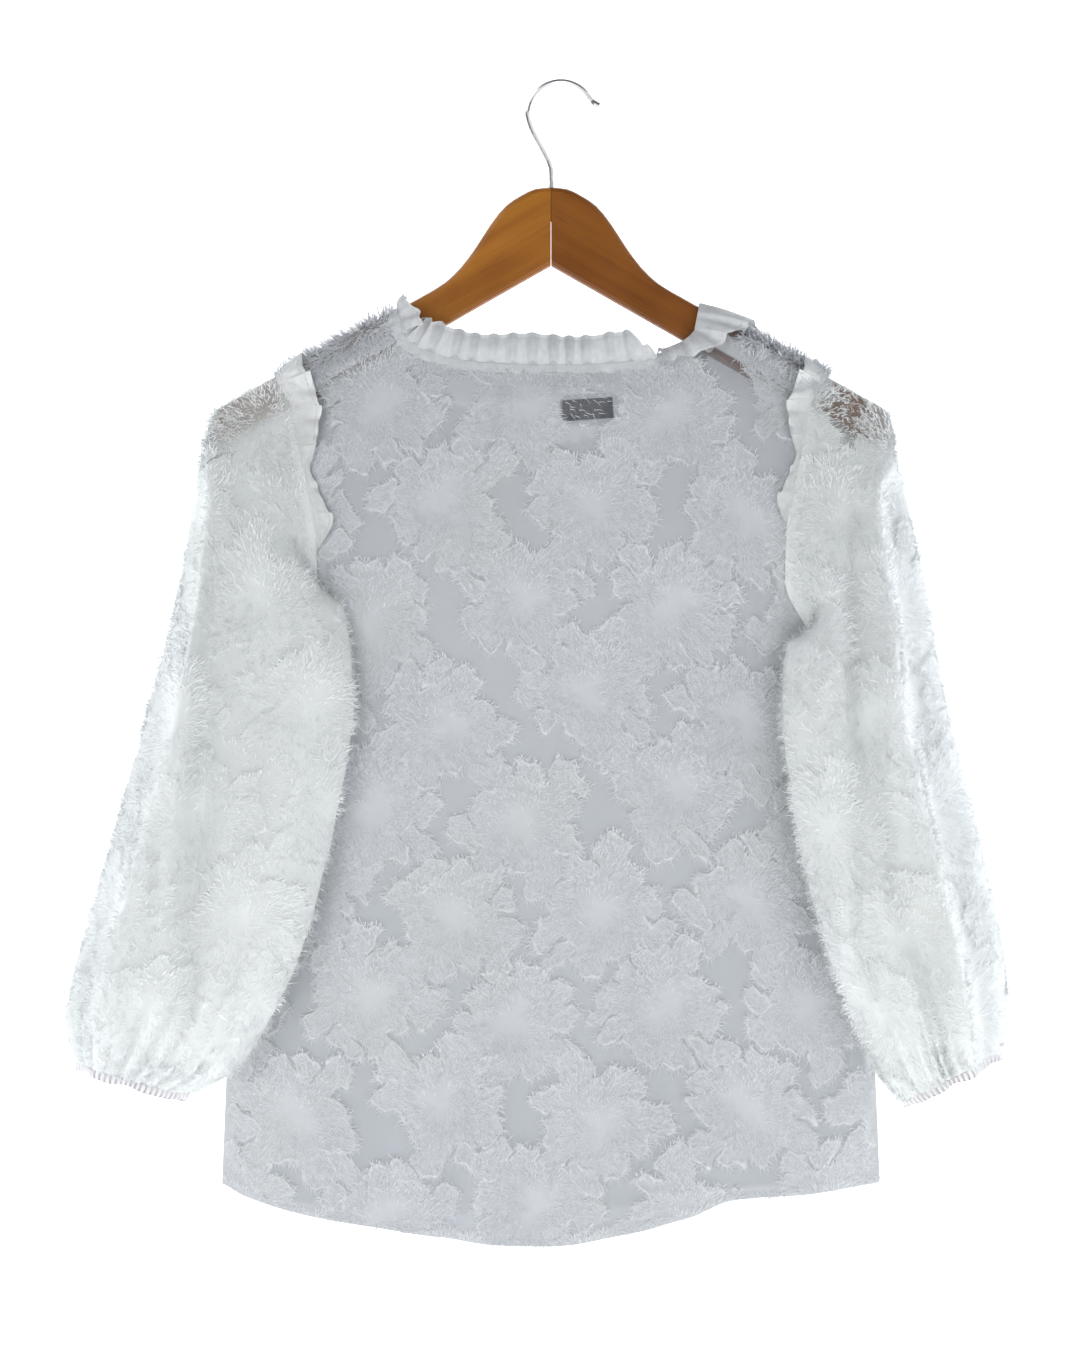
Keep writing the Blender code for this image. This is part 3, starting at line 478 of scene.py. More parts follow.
def flower(across, down, shift):
    """Cloth, petal and rim masks of every second row of flowers, and the way out of each one's middle."""
    u, v = across - shift * REPEAT / 2, down - shift * ROW
    column, row = np.floor(u / REPEAT + 0.5), np.floor(v / (2 * ROW) + 0.5)
    turn = column * TURNS[0] + row * TURNS[1] + shift * TURNS[2]
    du = u - column * REPEAT + JITTER_ACROSS[0] * np.sin(turn * JITTER_ACROSS[1])
    dv = v - row * 2 * ROW + JITTER_DOWN[0] * np.sin(turn * JITTER_DOWN[1])
    reach, angle = np.hypot(du, dv), np.arctan2(dv, du) + turn
    lobe_angle = LOBE_STEP * np.floor(angle / LOBE_STEP + 0.5)
    far, big = np.sin(3 * lobe_angle + turn), np.sin(4 * lobe_angle - 2 * turn)
    beside = reach * np.sin(angle - lobe_angle)
    beyond = reach * np.cos(angle - lobe_angle) - LOBE_OUT * (1 + LOBE_VARIES[0] * far)
    in_lobe = LOBE_RADIUS * (1 + LOBE_VARIES[1] * big) - np.hypot(beside, beyond)
    within = np.maximum(in_lobe, DISC - reach)
    dense = np.clip(within / EDGE_SOFT + 0.5, 0, 1)
    petal = dense * np.clip((reach - EYE_RADIUS * (1 + EYE_VARIES * far)) / EYE_SOFT, 0, 1)
    rim = dense * np.clip(1 - np.abs(within - RIM_IN) / RIM_WIDE, 0, 1)
    rim = rim * np.clip((reach - RIM_FROM) / RIM_FADE, 0, 1)
    safe = np.maximum(reach, 1e-6)
    return dense, petal, rim, np.stack((du / safe, dv / safe), axis=-1)


def flowers(across, down):
    """The whole pattern: the higher of the two sets of rows at each point."""
    u = across + START[0] + BEND * np.sin(down * BEND_DOWN)
    v = down + START[1] + BEND * np.sin(across * BEND_ACROSS)
    u = u + WOBBLE * np.sin(down * WOBBLE_DOWN) + RAG * np.sin(down * RAG_DOWN)
    v = v + WOBBLE * np.sin(across * WOBBLE_ACROSS) + RAG * np.sin(across * RAG_ACROSS)
    first, second = flower(u, v, 0), flower(u, v, 1)
    upper = second[0] > first[0]
    made = [np.where(upper, b, a) for a, b in zip(first[:3], second[:3])]
    return (*made, np.where(upper[..., None], second[3], first[3]))


test_u, test_v = np.meshgrid(np.linspace(0, REPEAT, 168), np.linspace(0, 2 * ROW, 264))
print("flowers cover", round(float(flowers(test_u, test_v)[0].mean()), 2), "of the cloth")

# %% [markdown]
# Now the same rule as shader nodes. The clipped threads' streaks are noise that is stretched along each ray
# of a flower, and the ground's fine weave is one sine across times another sine down.

# %% The same flower, as nodes
STREAK_RATE = (17.0, 210.0)
WEAVE_STEP, WEAVE_HEIGHT, TUFT_HEIGHT, RIM_HEIGHT = 0.0009, 0.06, 1.1, 0.55


def flower_group():
    tree, given, out = group_of(
        "one_flower",
        {"Across": ("Float", 0.0), "Down": ("Float", 0.0), "Shift": ("Float", 0.0)},
        {"Dense": "Float", "Petal": "Float", "Rim": "Float", "Angle": "Float", "Reach": "Float"},
    )
    u = calc(tree, "MULTIPLY_ADD", given["Shift"], -REPEAT / 2, given["Across"])
    v = calc(tree, "MULTIPLY_ADD", given["Shift"], -ROW, given["Down"])
    column = calc(tree, "FLOOR", calc(tree, "MULTIPLY_ADD", u, 1 / REPEAT, 0.5))
    row = calc(tree, "FLOOR", calc(tree, "MULTIPLY_ADD", v, 0.5 / ROW, 0.5))
    turn = calc(tree, "MULTIPLY_ADD", column, TURNS[0], calc(tree, "MULTIPLY", row, TURNS[1]))
    turn = calc(tree, "MULTIPLY_ADD", given["Shift"], TURNS[2], turn)
    du = calc(tree, "MULTIPLY_ADD", column, -REPEAT, u)
    du = calc(tree, "MULTIPLY_ADD", sine_of(tree, turn, JITTER_ACROSS[1]), JITTER_ACROSS[0], du)
    dv = calc(tree, "MULTIPLY_ADD", row, -2 * ROW, v)
    dv = calc(tree, "MULTIPLY_ADD", sine_of(tree, turn, JITTER_DOWN[1]), JITTER_DOWN[0], dv)
    square = calc(tree, "MULTIPLY_ADD", du, du, calc(tree, "MULTIPLY", dv, dv))
    reach = calc(tree, "SQRT", square)
    angle = calc(tree, "ADD", calc(tree, "ARCTAN2", dv, du), turn)
    lobe = calc(tree, "FLOOR", calc(tree, "MULTIPLY_ADD", angle, 1 / LOBE_STEP, 0.5))
    lobe_angle = calc(tree, "MULTIPLY", lobe, LOBE_STEP)
    far = calc(tree, "SINE", calc(tree, "MULTIPLY_ADD", lobe_angle, 3.0, turn))
    big = calc(tree, "SINE", calc(tree, "MULTIPLY_ADD", lobe_angle, 4.0, calc(tree, "MULTIPLY", turn, -2.0)))
    off = calc(tree, "SUBTRACT", angle, lobe_angle)
    beside = calc(tree, "MULTIPLY", reach, calc(tree, "SINE", off))
    lobe_out = calc(tree, "MULTIPLY_ADD", far, LOBE_OUT * LOBE_VARIES[0], LOBE_OUT)
    beyond = calc(tree, "SUBTRACT", calc(tree, "MULTIPLY", reach, calc(tree, "COSINE", off)), lobe_out)
    square = calc(tree, "MULTIPLY_ADD", beside, beside, calc(tree, "MULTIPLY", beyond, beyond))
    size = calc(tree, "MULTIPLY_ADD", big, LOBE_RADIUS * LOBE_VARIES[1], LOBE_RADIUS)
    in_lobe = calc(tree, "SUBTRACT", size, calc(tree, "SQRT", square))
    within = calc(tree, "MAXIMUM", in_lobe, calc(tree, "SUBTRACT", DISC, reach))
    dense = calc(tree, "MULTIPLY_ADD", within, 1 / EDGE_SOFT, 0.5, clamp=True)
    eye = calc(tree, "MULTIPLY_ADD", far, EYE_RADIUS * EYE_VARIES, EYE_RADIUS)
    outside_eye = calc(tree, "MULTIPLY", calc(tree, "SUBTRACT", reach, eye), 1 / EYE_SOFT, clamp=True)
    rim = calc(tree, "ABSOLUTE", calc(tree, "SUBTRACT", within, RIM_IN))
    rim = calc(tree, "MULTIPLY_ADD", rim, -1 / RIM_WIDE, 1.0, clamp=True)
    outer = calc(tree, "MULTIPLY_ADD", reach, 1 / RIM_FADE, -RIM_FROM / RIM_FADE, clamp=True)
    wire(tree, dense, out["Dense"])
    wire(tree, calc(tree, "MULTIPLY", dense, outside_eye), out["Petal"])
    wire(tree, calc(tree, "MULTIPLY", calc(tree, "MULTIPLY", rim, outer), dense), out["Rim"])
    wire(tree, angle, out["Angle"])
    wire(tree, reach, out["Reach"])
    return tree


def cutwork_group():
    """Both rows of flowers together, with the clipped threads' streaks and the ground's fine weave."""
    one = flower_group()
    tree, given, out = group_of(
        "cutwork",
        {"Cut": ("Vector", None)},
        {"Dense": "Float", "Petal": "Float", "Rim": "Float", "Streaks": "Float", "Height": "Float"},
    )
    across, down, _ = parts_of(tree, given["Cut"])
    bend_across, bend_down = sine_of(tree, down, BEND_DOWN), sine_of(tree, across, BEND_ACROSS)
    u = calc(tree, "ADD", calc(tree, "MULTIPLY_ADD", bend_across, BEND, across), START[0])
    v = calc(tree, "ADD", calc(tree, "MULTIPLY_ADD", bend_down, BEND, down), START[1])
    for amount, by_down, by_across in ((WOBBLE, WOBBLE_DOWN, WOBBLE_ACROSS), (RAG, RAG_DOWN, RAG_ACROSS)):
        u = calc(tree, "MULTIPLY_ADD", sine_of(tree, down, by_down), amount, u)
        v = calc(tree, "MULTIPLY_ADD", sine_of(tree, across, by_across), amount, v)
    first = use_group(tree, one, Across=u, Down=v, Shift=0.0)
    second = use_group(tree, one, Across=u, Down=v, Shift=1.0)
    upper = calc(tree, "GREATER_THAN", second["Dense"], first["Dense"])
    names = ("Dense", "Petal", "Rim", "Angle", "Reach")
    chosen = {name: blend_values(tree, upper, first[name], second[name]) for name in names}
    for name in names[:3]:
        wire(tree, chosen[name], out[name])
    ray = calc(tree, "MULTIPLY", chosen["Angle"], STREAK_RATE[0])
    strand = combine(tree, ray, calc(tree, "MULTIPLY", chosen["Reach"], STREAK_RATE[1]))
    streaks = noise(tree, strand, 1.5, 3.0, 0.62, 1.5)
    wire(tree, streaks, out["Streaks"])
    warp, weft = sine_of(tree, across, math.tau / WEAVE_STEP), sine_of(tree, down, math.tau / WEAVE_STEP)
    weave = calc(tree, "MULTIPLY", calc(tree, "MULTIPLY", warp, weft), WEAVE_HEIGHT)
    tuft = calc(tree, "MULTIPLY", streaks, chosen["Petal"])
    height = calc(tree, "MULTIPLY_ADD", tuft, TUFT_HEIGHT, weave)
    height = calc(tree, "MULTIPLY_ADD", chosen["Rim"], RIM_HEIGHT, height)
    wire(tree, height, out["Height"])
    return tree


CUTWORK = cutwork_group()
print("shader groups:", [g.name for g in bpy.data.node_groups])

# %% [markdown]
# The cloth's material reads the piece's own UV map, in which one unit is one metre of flat cloth, so the
# flowers follow the folds and keep their size. The body's ground lets almost a third of the light through,
# the sleeves' less than a tenth and the petals none. Where the cloth is sewn double, along its seams and
# hem, an attribute called doubled makes it denser. Where it is stretched over the hanger's arm, and in a
# bare place in front of the label, one called sheer makes it thinner, so that the wood and the label show
# through.

# %% Flowered cloth material
SHEER_LOSES_PETALS, SHEER_LOSES_GROUND, DOUBLED_DENSE = 0.92, 0.86, 0.8
TUFT_CONTRAST, TUFT_BRIGHTEST, RIM_WHITE = 0.20, 0.95, (0.92, 0.93, 0.94)
WARM, WARM_SHARE = (0.99, 1.01, 0.94), 0.55


def cut_map(tree):
    made = tree.nodes.new("ShaderNodeUVMap")
    made.uv_map = "cut"
    return made.outputs[0]


def named_value(tree, name):
    made = tree.nodes.new("ShaderNodeAttribute")
    made.attribute_name = name
    return made.outputs["Fac"]


def bumped(tree, shader, height, distance, strength=1.0):
    bump = tree.nodes.new("ShaderNodeBump")
    bump.inputs["Strength"].default_value = strength
    bump.inputs["Distance"].default_value = distance
    wire(tree, height, bump.inputs["Height"])
    tree.links.new(bump.outputs[0], shader.inputs["Normal"])


def flowered_cloth(name, petal_colour, ground_colour, ground_alpha, contrast):
    made, shader = shade(name, petal_colour, 0.82)
    tree = made.node_tree
    cut = cut_map(tree)
    pattern = use_group(tree, CUTWORK, Cut=cut)
    doubled, sheer = named_value(tree, "doubled"), named_value(tree, "sheer")
    kept = calc(tree, "MULTIPLY_ADD", calc(tree, "POWER", sheer, 4.0), -SHEER_LOSES_PETALS, 1.0)
    dense = calc(tree, "MULTIPLY", pattern["Dense"], kept)
    dense = calc(tree, "MAXIMUM", dense, calc(tree, "MULTIPLY", doubled, DOUBLED_DENSE))
    # The petals' streaks are partly real and partly painted shade: the lighter colour is the threads' own
    # whiter tone, and the darker one is painted shade in the gaps between them.
    streaked = calc(tree, "MULTIPLY_ADD", pattern["Streaks"], 3.0, -1.0, clamp=True)
    light = [min(TUFT_BRIGHTEST, (1 + TUFT_CONTRAST * contrast) * c) for c in petal_colour]
    shaded_gap = [(1 - TUFT_CONTRAST * contrast) * c for c in petal_colour]
    tuft = blend_colours(tree, streaked, (*shaded_gap, 1.0), (*light, 1.0))
    tint = blend_colours(tree, pattern["Petal"], (*petal_colour, 1.0), tuft)
    tint = blend_colours(tree, dense, (*ground_colour, 1.0), tint)
    rim = calc(tree, "MULTIPLY", pattern["Rim"], calc(tree, "MULTIPLY_ADD", streaked, 0.45, 0.05))
    rim = calc(tree, "MULTIPLY", rim, contrast)
    tint = blend_colours(tree, rim, tint, (*RIM_WHITE, 1.0))
    cloud = calc(tree, "MULTIPLY_ADD", noise(tree, cut, 7.0, 2.0), 2.4, -1.0, clamp=True)
    warm = [c * k for c, k in zip(petal_colour, WARM)]
    tint = blend_colours(tree, calc(tree, "MULTIPLY", cloud, WARM_SHARE), tint, (*warm, 1.0))
    tree.links.new(tint, shader.inputs["Base Color"])
    thin = calc(tree, "MULTIPLY_ADD", sheer, -SHEER_LOSES_GROUND * ground_alpha, ground_alpha)
    tree.links.new(blend_values(tree, dense, thin, 1.0), shader.inputs["Alpha"])
    bumped(tree, shader, pattern["Height"], 0.0007 * (0.3 + 0.7 * contrast), 0.8)
    shader.inputs["Sheen Weight"].default_value = 0.25
    shader.inputs["Sheen Roughness"].default_value = 0.5
    return made


def thread(name, colour):
    made, shader = shade(name, colour, 0.65)
    shader.inputs["Sheen Weight"].default_value = 0.2
    return made


# The body's cloth is a darker copy of the sleeves' cloth: painted shade for the shaded inside behind the
# body's sheer layers, while the sleeves' lighter copy is painted light that keeps their sloping faces bright.
CLOTHS = (
    ("name", "petals", "ground", "ground_alpha", "contrast"),
    ("cutwork_cloth_body", (0.553, 0.568, 0.592), (0.575, 0.60, 0.63), 0.70, 1.0),
    ("cutwork_cloth_sleeve", (0.715, 0.738, 0.738), (0.705, 0.728, 0.728), 0.93, 0.50),
)
BODY_CLOTH, SLEEVE_CLOTH = [flowered_cloth(*row) for row in CLOTHS[1:]]
# The body's threads are painted darker than the sleeves' threads in the same way: painted shade on the body,
# painted light on the sleeves.
THREAD_BODY = thread("clipped_thread_body", (0.69, 0.71, 0.735))
THREAD_SLEEVE = thread("clipped_thread_sleeve", (0.83, 0.85, 0.85))
print("cloth materials:", BODY_CLOTH.name, SLEEVE_CLOTH.name)

# %% [markdown]
# ## A sheet of cloth
# Every sheet starts as a flat grid, like cloth on the cutting table. A function then says where each of its
# points hangs, and the flat position is kept in the UV map. The petals are raised a little out of the
# surface, because a bump in the shader alone doesn't show at an edge.

# %% Sheet maker
PETAL_RELIEF, RIM_RELIEF, CRUMPLE = 0.0005, 0.0006, 0.00014
SHEER_ARM, SHEER_FADE, SHEER_ARM_SHARE = 0.018, 0.034, 0.92
BARE_PLACE, BARE_SIZE = (-0.0250, -0.2165), (0.0205, 0.0112)
UNDER_TURNED = ((-0.126, -0.072), -0.183)


def flat_grid(name, across, down):
    """A flat mesh of across by down faces, one unit wide and tall, and its points."""
    mesh = bmesh.new()
    bmesh.ops.create_grid(mesh, x_segments=across, y_segments=down, size=0.5)
    data = bpy.data.meshes.new(name)
    mesh.to_mesh(data)
    mesh.free()
    flat = np.empty(len(data.vertices) * 3)
    data.vertices.foreach_get("co", flat)
    return data, flat.reshape(-1, 3)


def keep_cut(data, cut):
    """Keeps each point's place on the cutting table as the mesh's UV map."""
    corners = np.empty(len(data.loops), dtype=np.int32)
    data.loops.foreach_get("vertex_index", corners)
    data.uv_layers.new(name="cut").data.foreach_set("uv", cut[corners].ravel())


def keep_values(data, label, values):
    layer = data.attributes.new(label, "FLOAT", "POINT")
    layer.data.foreach_set("value", values.astype(np.float32))


class Sheet:
    """A hung sheet: its object, and per vertex its place, outward direction, cut position and grid place."""


def bare_at(x, y, z):
    """The bare place in the back, in front of the label."""
    off = ((x - BARE_PLACE[0]) / BARE_SIZE[0]) ** 4 + ((z - BARE_PLACE[1]) / BARE_SIZE[1]) ** 4
    return np.where(y > 0, 1 - soft_step((off - 0.5) / 0.9), 0.0)


def sheer_at(points):
    """How thin the cloth is at each point: over the hanger's arms, and at the bare place by the label."""
    x, y, z = points.T
    drop = ridge(x) - z
    over_arm = 1 - soft_step((drop - SHEER_ARM) / SHEER_FADE)
    over_arm = over_arm * soft_step((np.abs(x) - 0.085) / 0.02) * SHEER_ARM_SHARE
    return np.maximum(over_arm, bare_at(x, y, z))


def hang(name, across, down, place, outward, relief=1.0, seed=1):
    """Makes a grid of across by down faces and moves it to place(s, t), which gives points and cut sizes."""
    made = Sheet()
    data, flat = flat_grid(name, across, down)
    made.s, made.t = flat[:, 0] + 0.5, 0.5 - flat[:, 1]
    made.points, made.cut, made.doubled = place(made.s, made.t)
    data.vertices.foreach_set("co", made.points.ravel())
    data.update()
    normals = np.empty(len(data.vertices) * 3)
    data.vertices.foreach_get("normal", normals)
    made.normals = normals.reshape(-1, 3)
    if np.sum(made.normals * outward(made.points)) < 0:
        data.flip_normals()
        made.normals = -made.normals
    made.area = sum(f.area for f in data.polygons)
    made.sheer = sheer_at(made.points)
    _, petal, rim, _ = flowers(made.cut[:, 0], made.cut[:, 1])
    plain = (1 - made.doubled) * (1 - made.sheer)
    rng = np.random.default_rng(seed)
    lift = plain * (PETAL_RELIEF * petal + RIM_RELIEF * rim + CRUMPLE * petal * rng.normal(size=len(petal)))
    raised = made.points + made.normals * (lift * relief)[:, None]
    data.vertices.foreach_set("co", (raised + HANGER_MIDDLE).ravel())
    keep_cut(data, made.cut)
    keep_values(data, "doubled", made.doubled)
    keep_values(data, "sheer", made.sheer)
    data.shade_smooth()
    made.object = placed(name, data)
    made.grid = (across + 1, down + 1)
    return made


print("sheet maker ready")

# %% [markdown]
# ## Clipped threads
# Thousands of short thread ends stand out of the petals. Hair would vanish in the exported model, so each
# thread is a thin tapered ribbon of two faces. It leaves the cloth on the outside of its petal, leans out of
# the flower, and its tip drops a little. More of them stand on the petals' rims. Few grow on the bare place
# in front of the label, and none on the cloth that the turned-over ruffle lies on.

# %% Thread maker
THREAD_LENGTH, THREAD_WIDTH, THREAD_CURL = (0.0028, 0.0070), 0.00044, 1.3
ROOT_OUT, THREAD_DROP, THREAD_SWING = 0.0001, 0.22, 0.55
ON_PETAL, ON_RIM, BARE_LOSES, TRIES = 0.32, 0.7, 0.85, 5


def lashes(name, sheet, count, seed, material, lift=(0.10, 0.50), keep=None, longer=1.0):
    """Ribbons rooted on a sheet's petals, joined in one mesh; keep gives extra weight to some places."""
    rng = np.random.default_rng(seed)
    order = np.lexsort((sheet.s, sheet.t))
    wide, tall = sheet.grid

    def layered(values):
        return values[order].reshape(tall, wide, -1)

    places, normals, cut = layered(sheet.points), layered(sheet.normals), layered(sheet.cut)
    doubled = layered(sheet.doubled)
    i = rng.integers(0, tall - 1, size=count * TRIES)
    j = rng.integers(0, wide - 1, size=count * TRIES)
    a, b = rng.random((2, count * TRIES, 1))

    def between(values):
        top = mix(values[i, j], values[i, j + 1], a)
        return mix(top, mix(values[i + 1, j], values[i + 1, j + 1], a), b)

    where = between(cut)
    _, petal, rim, out = flowers(where[:, 0], where[:, 1])
    area = np.linalg.norm(
        np.cross(places[i, j + 1] - places[i, j], places[i + 1, j] - places[i, j]), axis=1
    )
    chance = (ON_PETAL * petal + ON_RIM * rim) * (1 - between(doubled)[:, 0])
    if keep is not None:
        chance = chance + keep(between(places), between(normals))
    x, y, z = between(places).T
    (low_x, high_x), low_z = UNDER_TURNED
    under = (x > low_x) & (x < high_x) & (z > low_z)
    chance = chance * (1 - BARE_LOSES * bare_at(x, y, z)) * ~under
    chance = chance * area / np.quantile(area, 0.9)
    chosen = np.flatnonzero(rng.random(count * TRIES) < chance)[:count]
    i, j, a, b, out = i[chosen], j[chosen], a[chosen], b[chosen], out[chosen]
    root, normal = between(places), between(normals)
    normal /= np.linalg.norm(normal, axis=1, keepdims=True)
    along_u = places[i, j + 1] - places[i, j]
    along_v = places[i + 1, j] - places[i, j]
    cut_u, cut_v = cut[i, j + 1] - cut[i, j], cut[i + 1, j] - cut[i, j]
    det = cut_u[:, 0] * cut_v[:, 1] - cut_u[:, 1] * cut_v[:, 0]
    det = np.where(np.abs(det) < 1e-12, 1e-12, det)
    swing = rng.normal(scale=THREAD_SWING, size=len(chosen))
    cosine, sine = np.cos(swing), np.sin(swing)
    turned = np.stack((out[:, 0] * cosine - out[:, 1] * sine, out[:, 0] * sine + out[:, 1] * cosine), axis=1)
    share_u = (turned[:, 0] * cut_v[:, 1] - turned[:, 1] * cut_v[:, 0]) / det
    share_v = (turned[:, 1] * cut_u[:, 0] - turned[:, 0] * cut_u[:, 1]) / det
    lean = along_u * share_u[:, None] + along_v * share_v[:, None]
    lean /= np.maximum(np.linalg.norm(lean, axis=1, keepdims=True), 1e-9)
    length = rng.uniform(*THREAD_LENGTH, size=(len(chosen), 1)) * longer
    rise = rng.uniform(*lift, size=(len(chosen), 1))
    drop = np.array((0, 0, -1.0)) * length * THREAD_DROP
    aside = np.cross(lean, normal) * THREAD_WIDTH / 2
    root = root + normal * ROOT_OUT
    middle = root + (lean + normal * rise) * length * 0.5
    curl = rng.uniform(-THREAD_CURL, THREAD_CURL, size=(len(chosen), 1))
    onward = lean * np.cos(curl) + np.cross(lean, normal) * np.sin(curl)
    tip = middle + (onward + normal * rise * 0.3) * length * 0.5 + drop
    corners = np.stack((root - aside, root + aside, middle + aside * 0.8, middle - aside * 0.8, tip), axis=1)
    corners = corners.reshape(-1, 3) + HANGER_MIDDLE
    first = np.arange(len(chosen)) * 5
    faces = [(k, k + 1, k + 2, k + 3) for k in first] + [(k + 3, k + 2, k + 4) for k in first]
    data = bpy.data.meshes.new(name)
    data.from_pydata(corners.tolist(), [], faces)
    data.shade_smooth()
    data.materials.append(material)
    made = placed(name, data)
    print(name, len(chosen), "threads")
    return made


def finished(obj, material, slot, *nodes):
    """Gives a piece its material, rides it on the part's one body and hides the nodes that it stands for."""
    if material is not None:
        obj.data.materials.clear()
        obj.data.materials.append(material)
    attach(obj, "root")
    if nodes:
        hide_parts(*nodes)


print("thread maker ready")

# %% [markdown]
# ## Back and front
# Each body panel is cut in one. Its top follows the neckline and the shoulders, its sides follow the
# armholes and side seams, and it hangs as half of a flat lens. Shallow folds open towards the hem. The
# front's shoulders pass over the arms and meet the back on a seam a little way down behind them.

# %% Panels
SEAM_ALLOWANCE, HEM_TURN, SEAM_SOFT = 0.006, 0.007, 0.0015
NECK_SHARE, NECK_SPREAD = 0.62, 1.5
SHOULDER_CORNER_Z = RIDGE_AT_NECK - SEAM_DROP


def panel(side_y, neck, folds, hem_column):
    """The place function of a body panel; s runs from the wearer's right to left, t from top to hem."""
    corner = float(neck_half_at(SHOULDER_CORNER_Z, *neck))
    arm = armhole_x(SEAM_DROP)

    def place(s, t):
        half = np.abs(2 * s - 1)
        in_neck = half < NECK_SHARE
        x = np.where(
            in_neck,
            corner * (1 - (1 - np.minimum(half / NECK_SHARE, 1.0)) ** NECK_SPREAD),
            mix(corner, arm, (half - NECK_SHARE) / (1 - NECK_SHARE)),
        )
        top = np.where(in_neck, neck_height(x, *neck), ridge(x) - SEAM_DROP)
        across = np.sign(2 * s - 1) * x / half_width(top)
        hem = read(HEM, hem_column, across * half_width(FOLDS_END_Z))
        z = mix(top, hem, t)
        x = across * half_width(z)
        depth = body_depth(x, z) + fold_depth(folds, x, z)
        points = np.stack((x, side_y * depth, z), axis=1)
        edge = (1 - np.abs(across)) * half_width(z)
        near = np.minimum(edge, np.where(in_neck, 1.0, (top - z)))
        doubled = 1 - soft_step((near - SEAM_ALLOWANCE) / SEAM_SOFT)
        doubled = np.maximum(doubled, 1 - soft_step((z - hem - HEM_TURN) / SEAM_SOFT))
        return points, np.stack((x, z), axis=1), doubled

    return place


def faces_out(sign):
    return lambda points: np.tile((0.0, sign, 0.0), (len(points), 1))


back = hang("back_panel", 230, 290, panel(1, BACK_NECK, BACK_FOLDS, "back"), faces_out(1.0), seed=11)
finished(back.object, BODY_CLOTH, "cutwork_cloth", "back")
front = hang("front_panel", 170, 210, panel(-1, FRONT_NECK, FRONT_FOLDS, "front"), faces_out(-1.0), seed=12)
print("back", round(back.area, 3), "m2; front", round(front.area, 3), "m2")


# %% The front's shoulders
def shoulder(side):
    """The strip of the front that passes over an arm: t runs from the seam behind to the front."""
    seam_hug = HUG_DEPTH + HUG_SPREAD * (SEAM_DROP - HUG_DROP)
    path = np.array(
        (
            (seam_hug, SEAM_DROP),
            (mix(HUG_DEPTH, seam_hug, 0.5), mix(HUG_DROP, SEAM_DROP, 0.5)),
            (HUG_DEPTH, HUG_DROP),
            (RIDGE_HALF, -RIDGE_LIFT),
            (-RIDGE_HALF, -RIDGE_LIFT),
            (-HUG_DEPTH, HUG_DROP),
            (-seam_hug, SEAM_DROP),
        )
    )
    steps = np.concatenate(([0.0], np.cumsum(np.hypot(*np.diff(path, axis=0).T))))

    def place(s, t):
        run = t * steps[-1]
        depth, drop = np.interp(run, steps, path[:, 0]), np.interp(run, steps, path[:, 1])
        z_neck = RIDGE_AT_NECK - drop
        neck = np.where(depth > 0, neck_half_at(z_neck, *BACK_NECK), neck_half_at(z_neck, *FRONT_NECK))
        arm = np.interp(drop, (-RIDGE_LIFT, SEAM_DROP), (armhole_x(-RIDGE_LIFT), armhole_x(SEAM_DROP)))
        x = mix(neck, arm, s)
        points = np.stack((side * x, depth, ridge(x) - drop), axis=1)
        doubled = 1 - soft_step((run - SEAM_ALLOWANCE) / SEAM_SOFT)
        return points, np.stack((side * x, -run - 0.05), axis=1), doubled

    return place


def up(points):
    return np.tile((0.0, 0.0, 1.0), (len(points), 1))


shoulders = [hang(f"shoulder_{side}", 44, 24, shoulder(side), up, seed=13) for side in (1, -1)]
joined = bmesh.new()
for piece in (front, *shoulders):
    joined.from_mesh(piece.object.data)
bmesh.ops.remove_doubles(joined, verts=joined.verts, dist=0.0002)
joined.to_mesh(front.object.data)
joined.free()
for piece in shoulders:
    front.area += piece.area
    bpy.data.objects.remove(piece.object)
finished(front.object, BODY_CLOTH, "cutwork_cloth", "front")
print("front with shoulders", round(front.area, 3), "m2")

# %% [markdown]
# ## Sleeves
# A balloon sleeve is a wide tube that is gathered into a narrow cuff. Hanging empty, it falls flat beside
# the body and doubles back on itself in one deep fold towards the body. The tables give, at each height,
# where its inner and outer edges and its faces are. Thirteen marks are placed round each ring from those
# sizes, and a smooth curve runs through the marks.

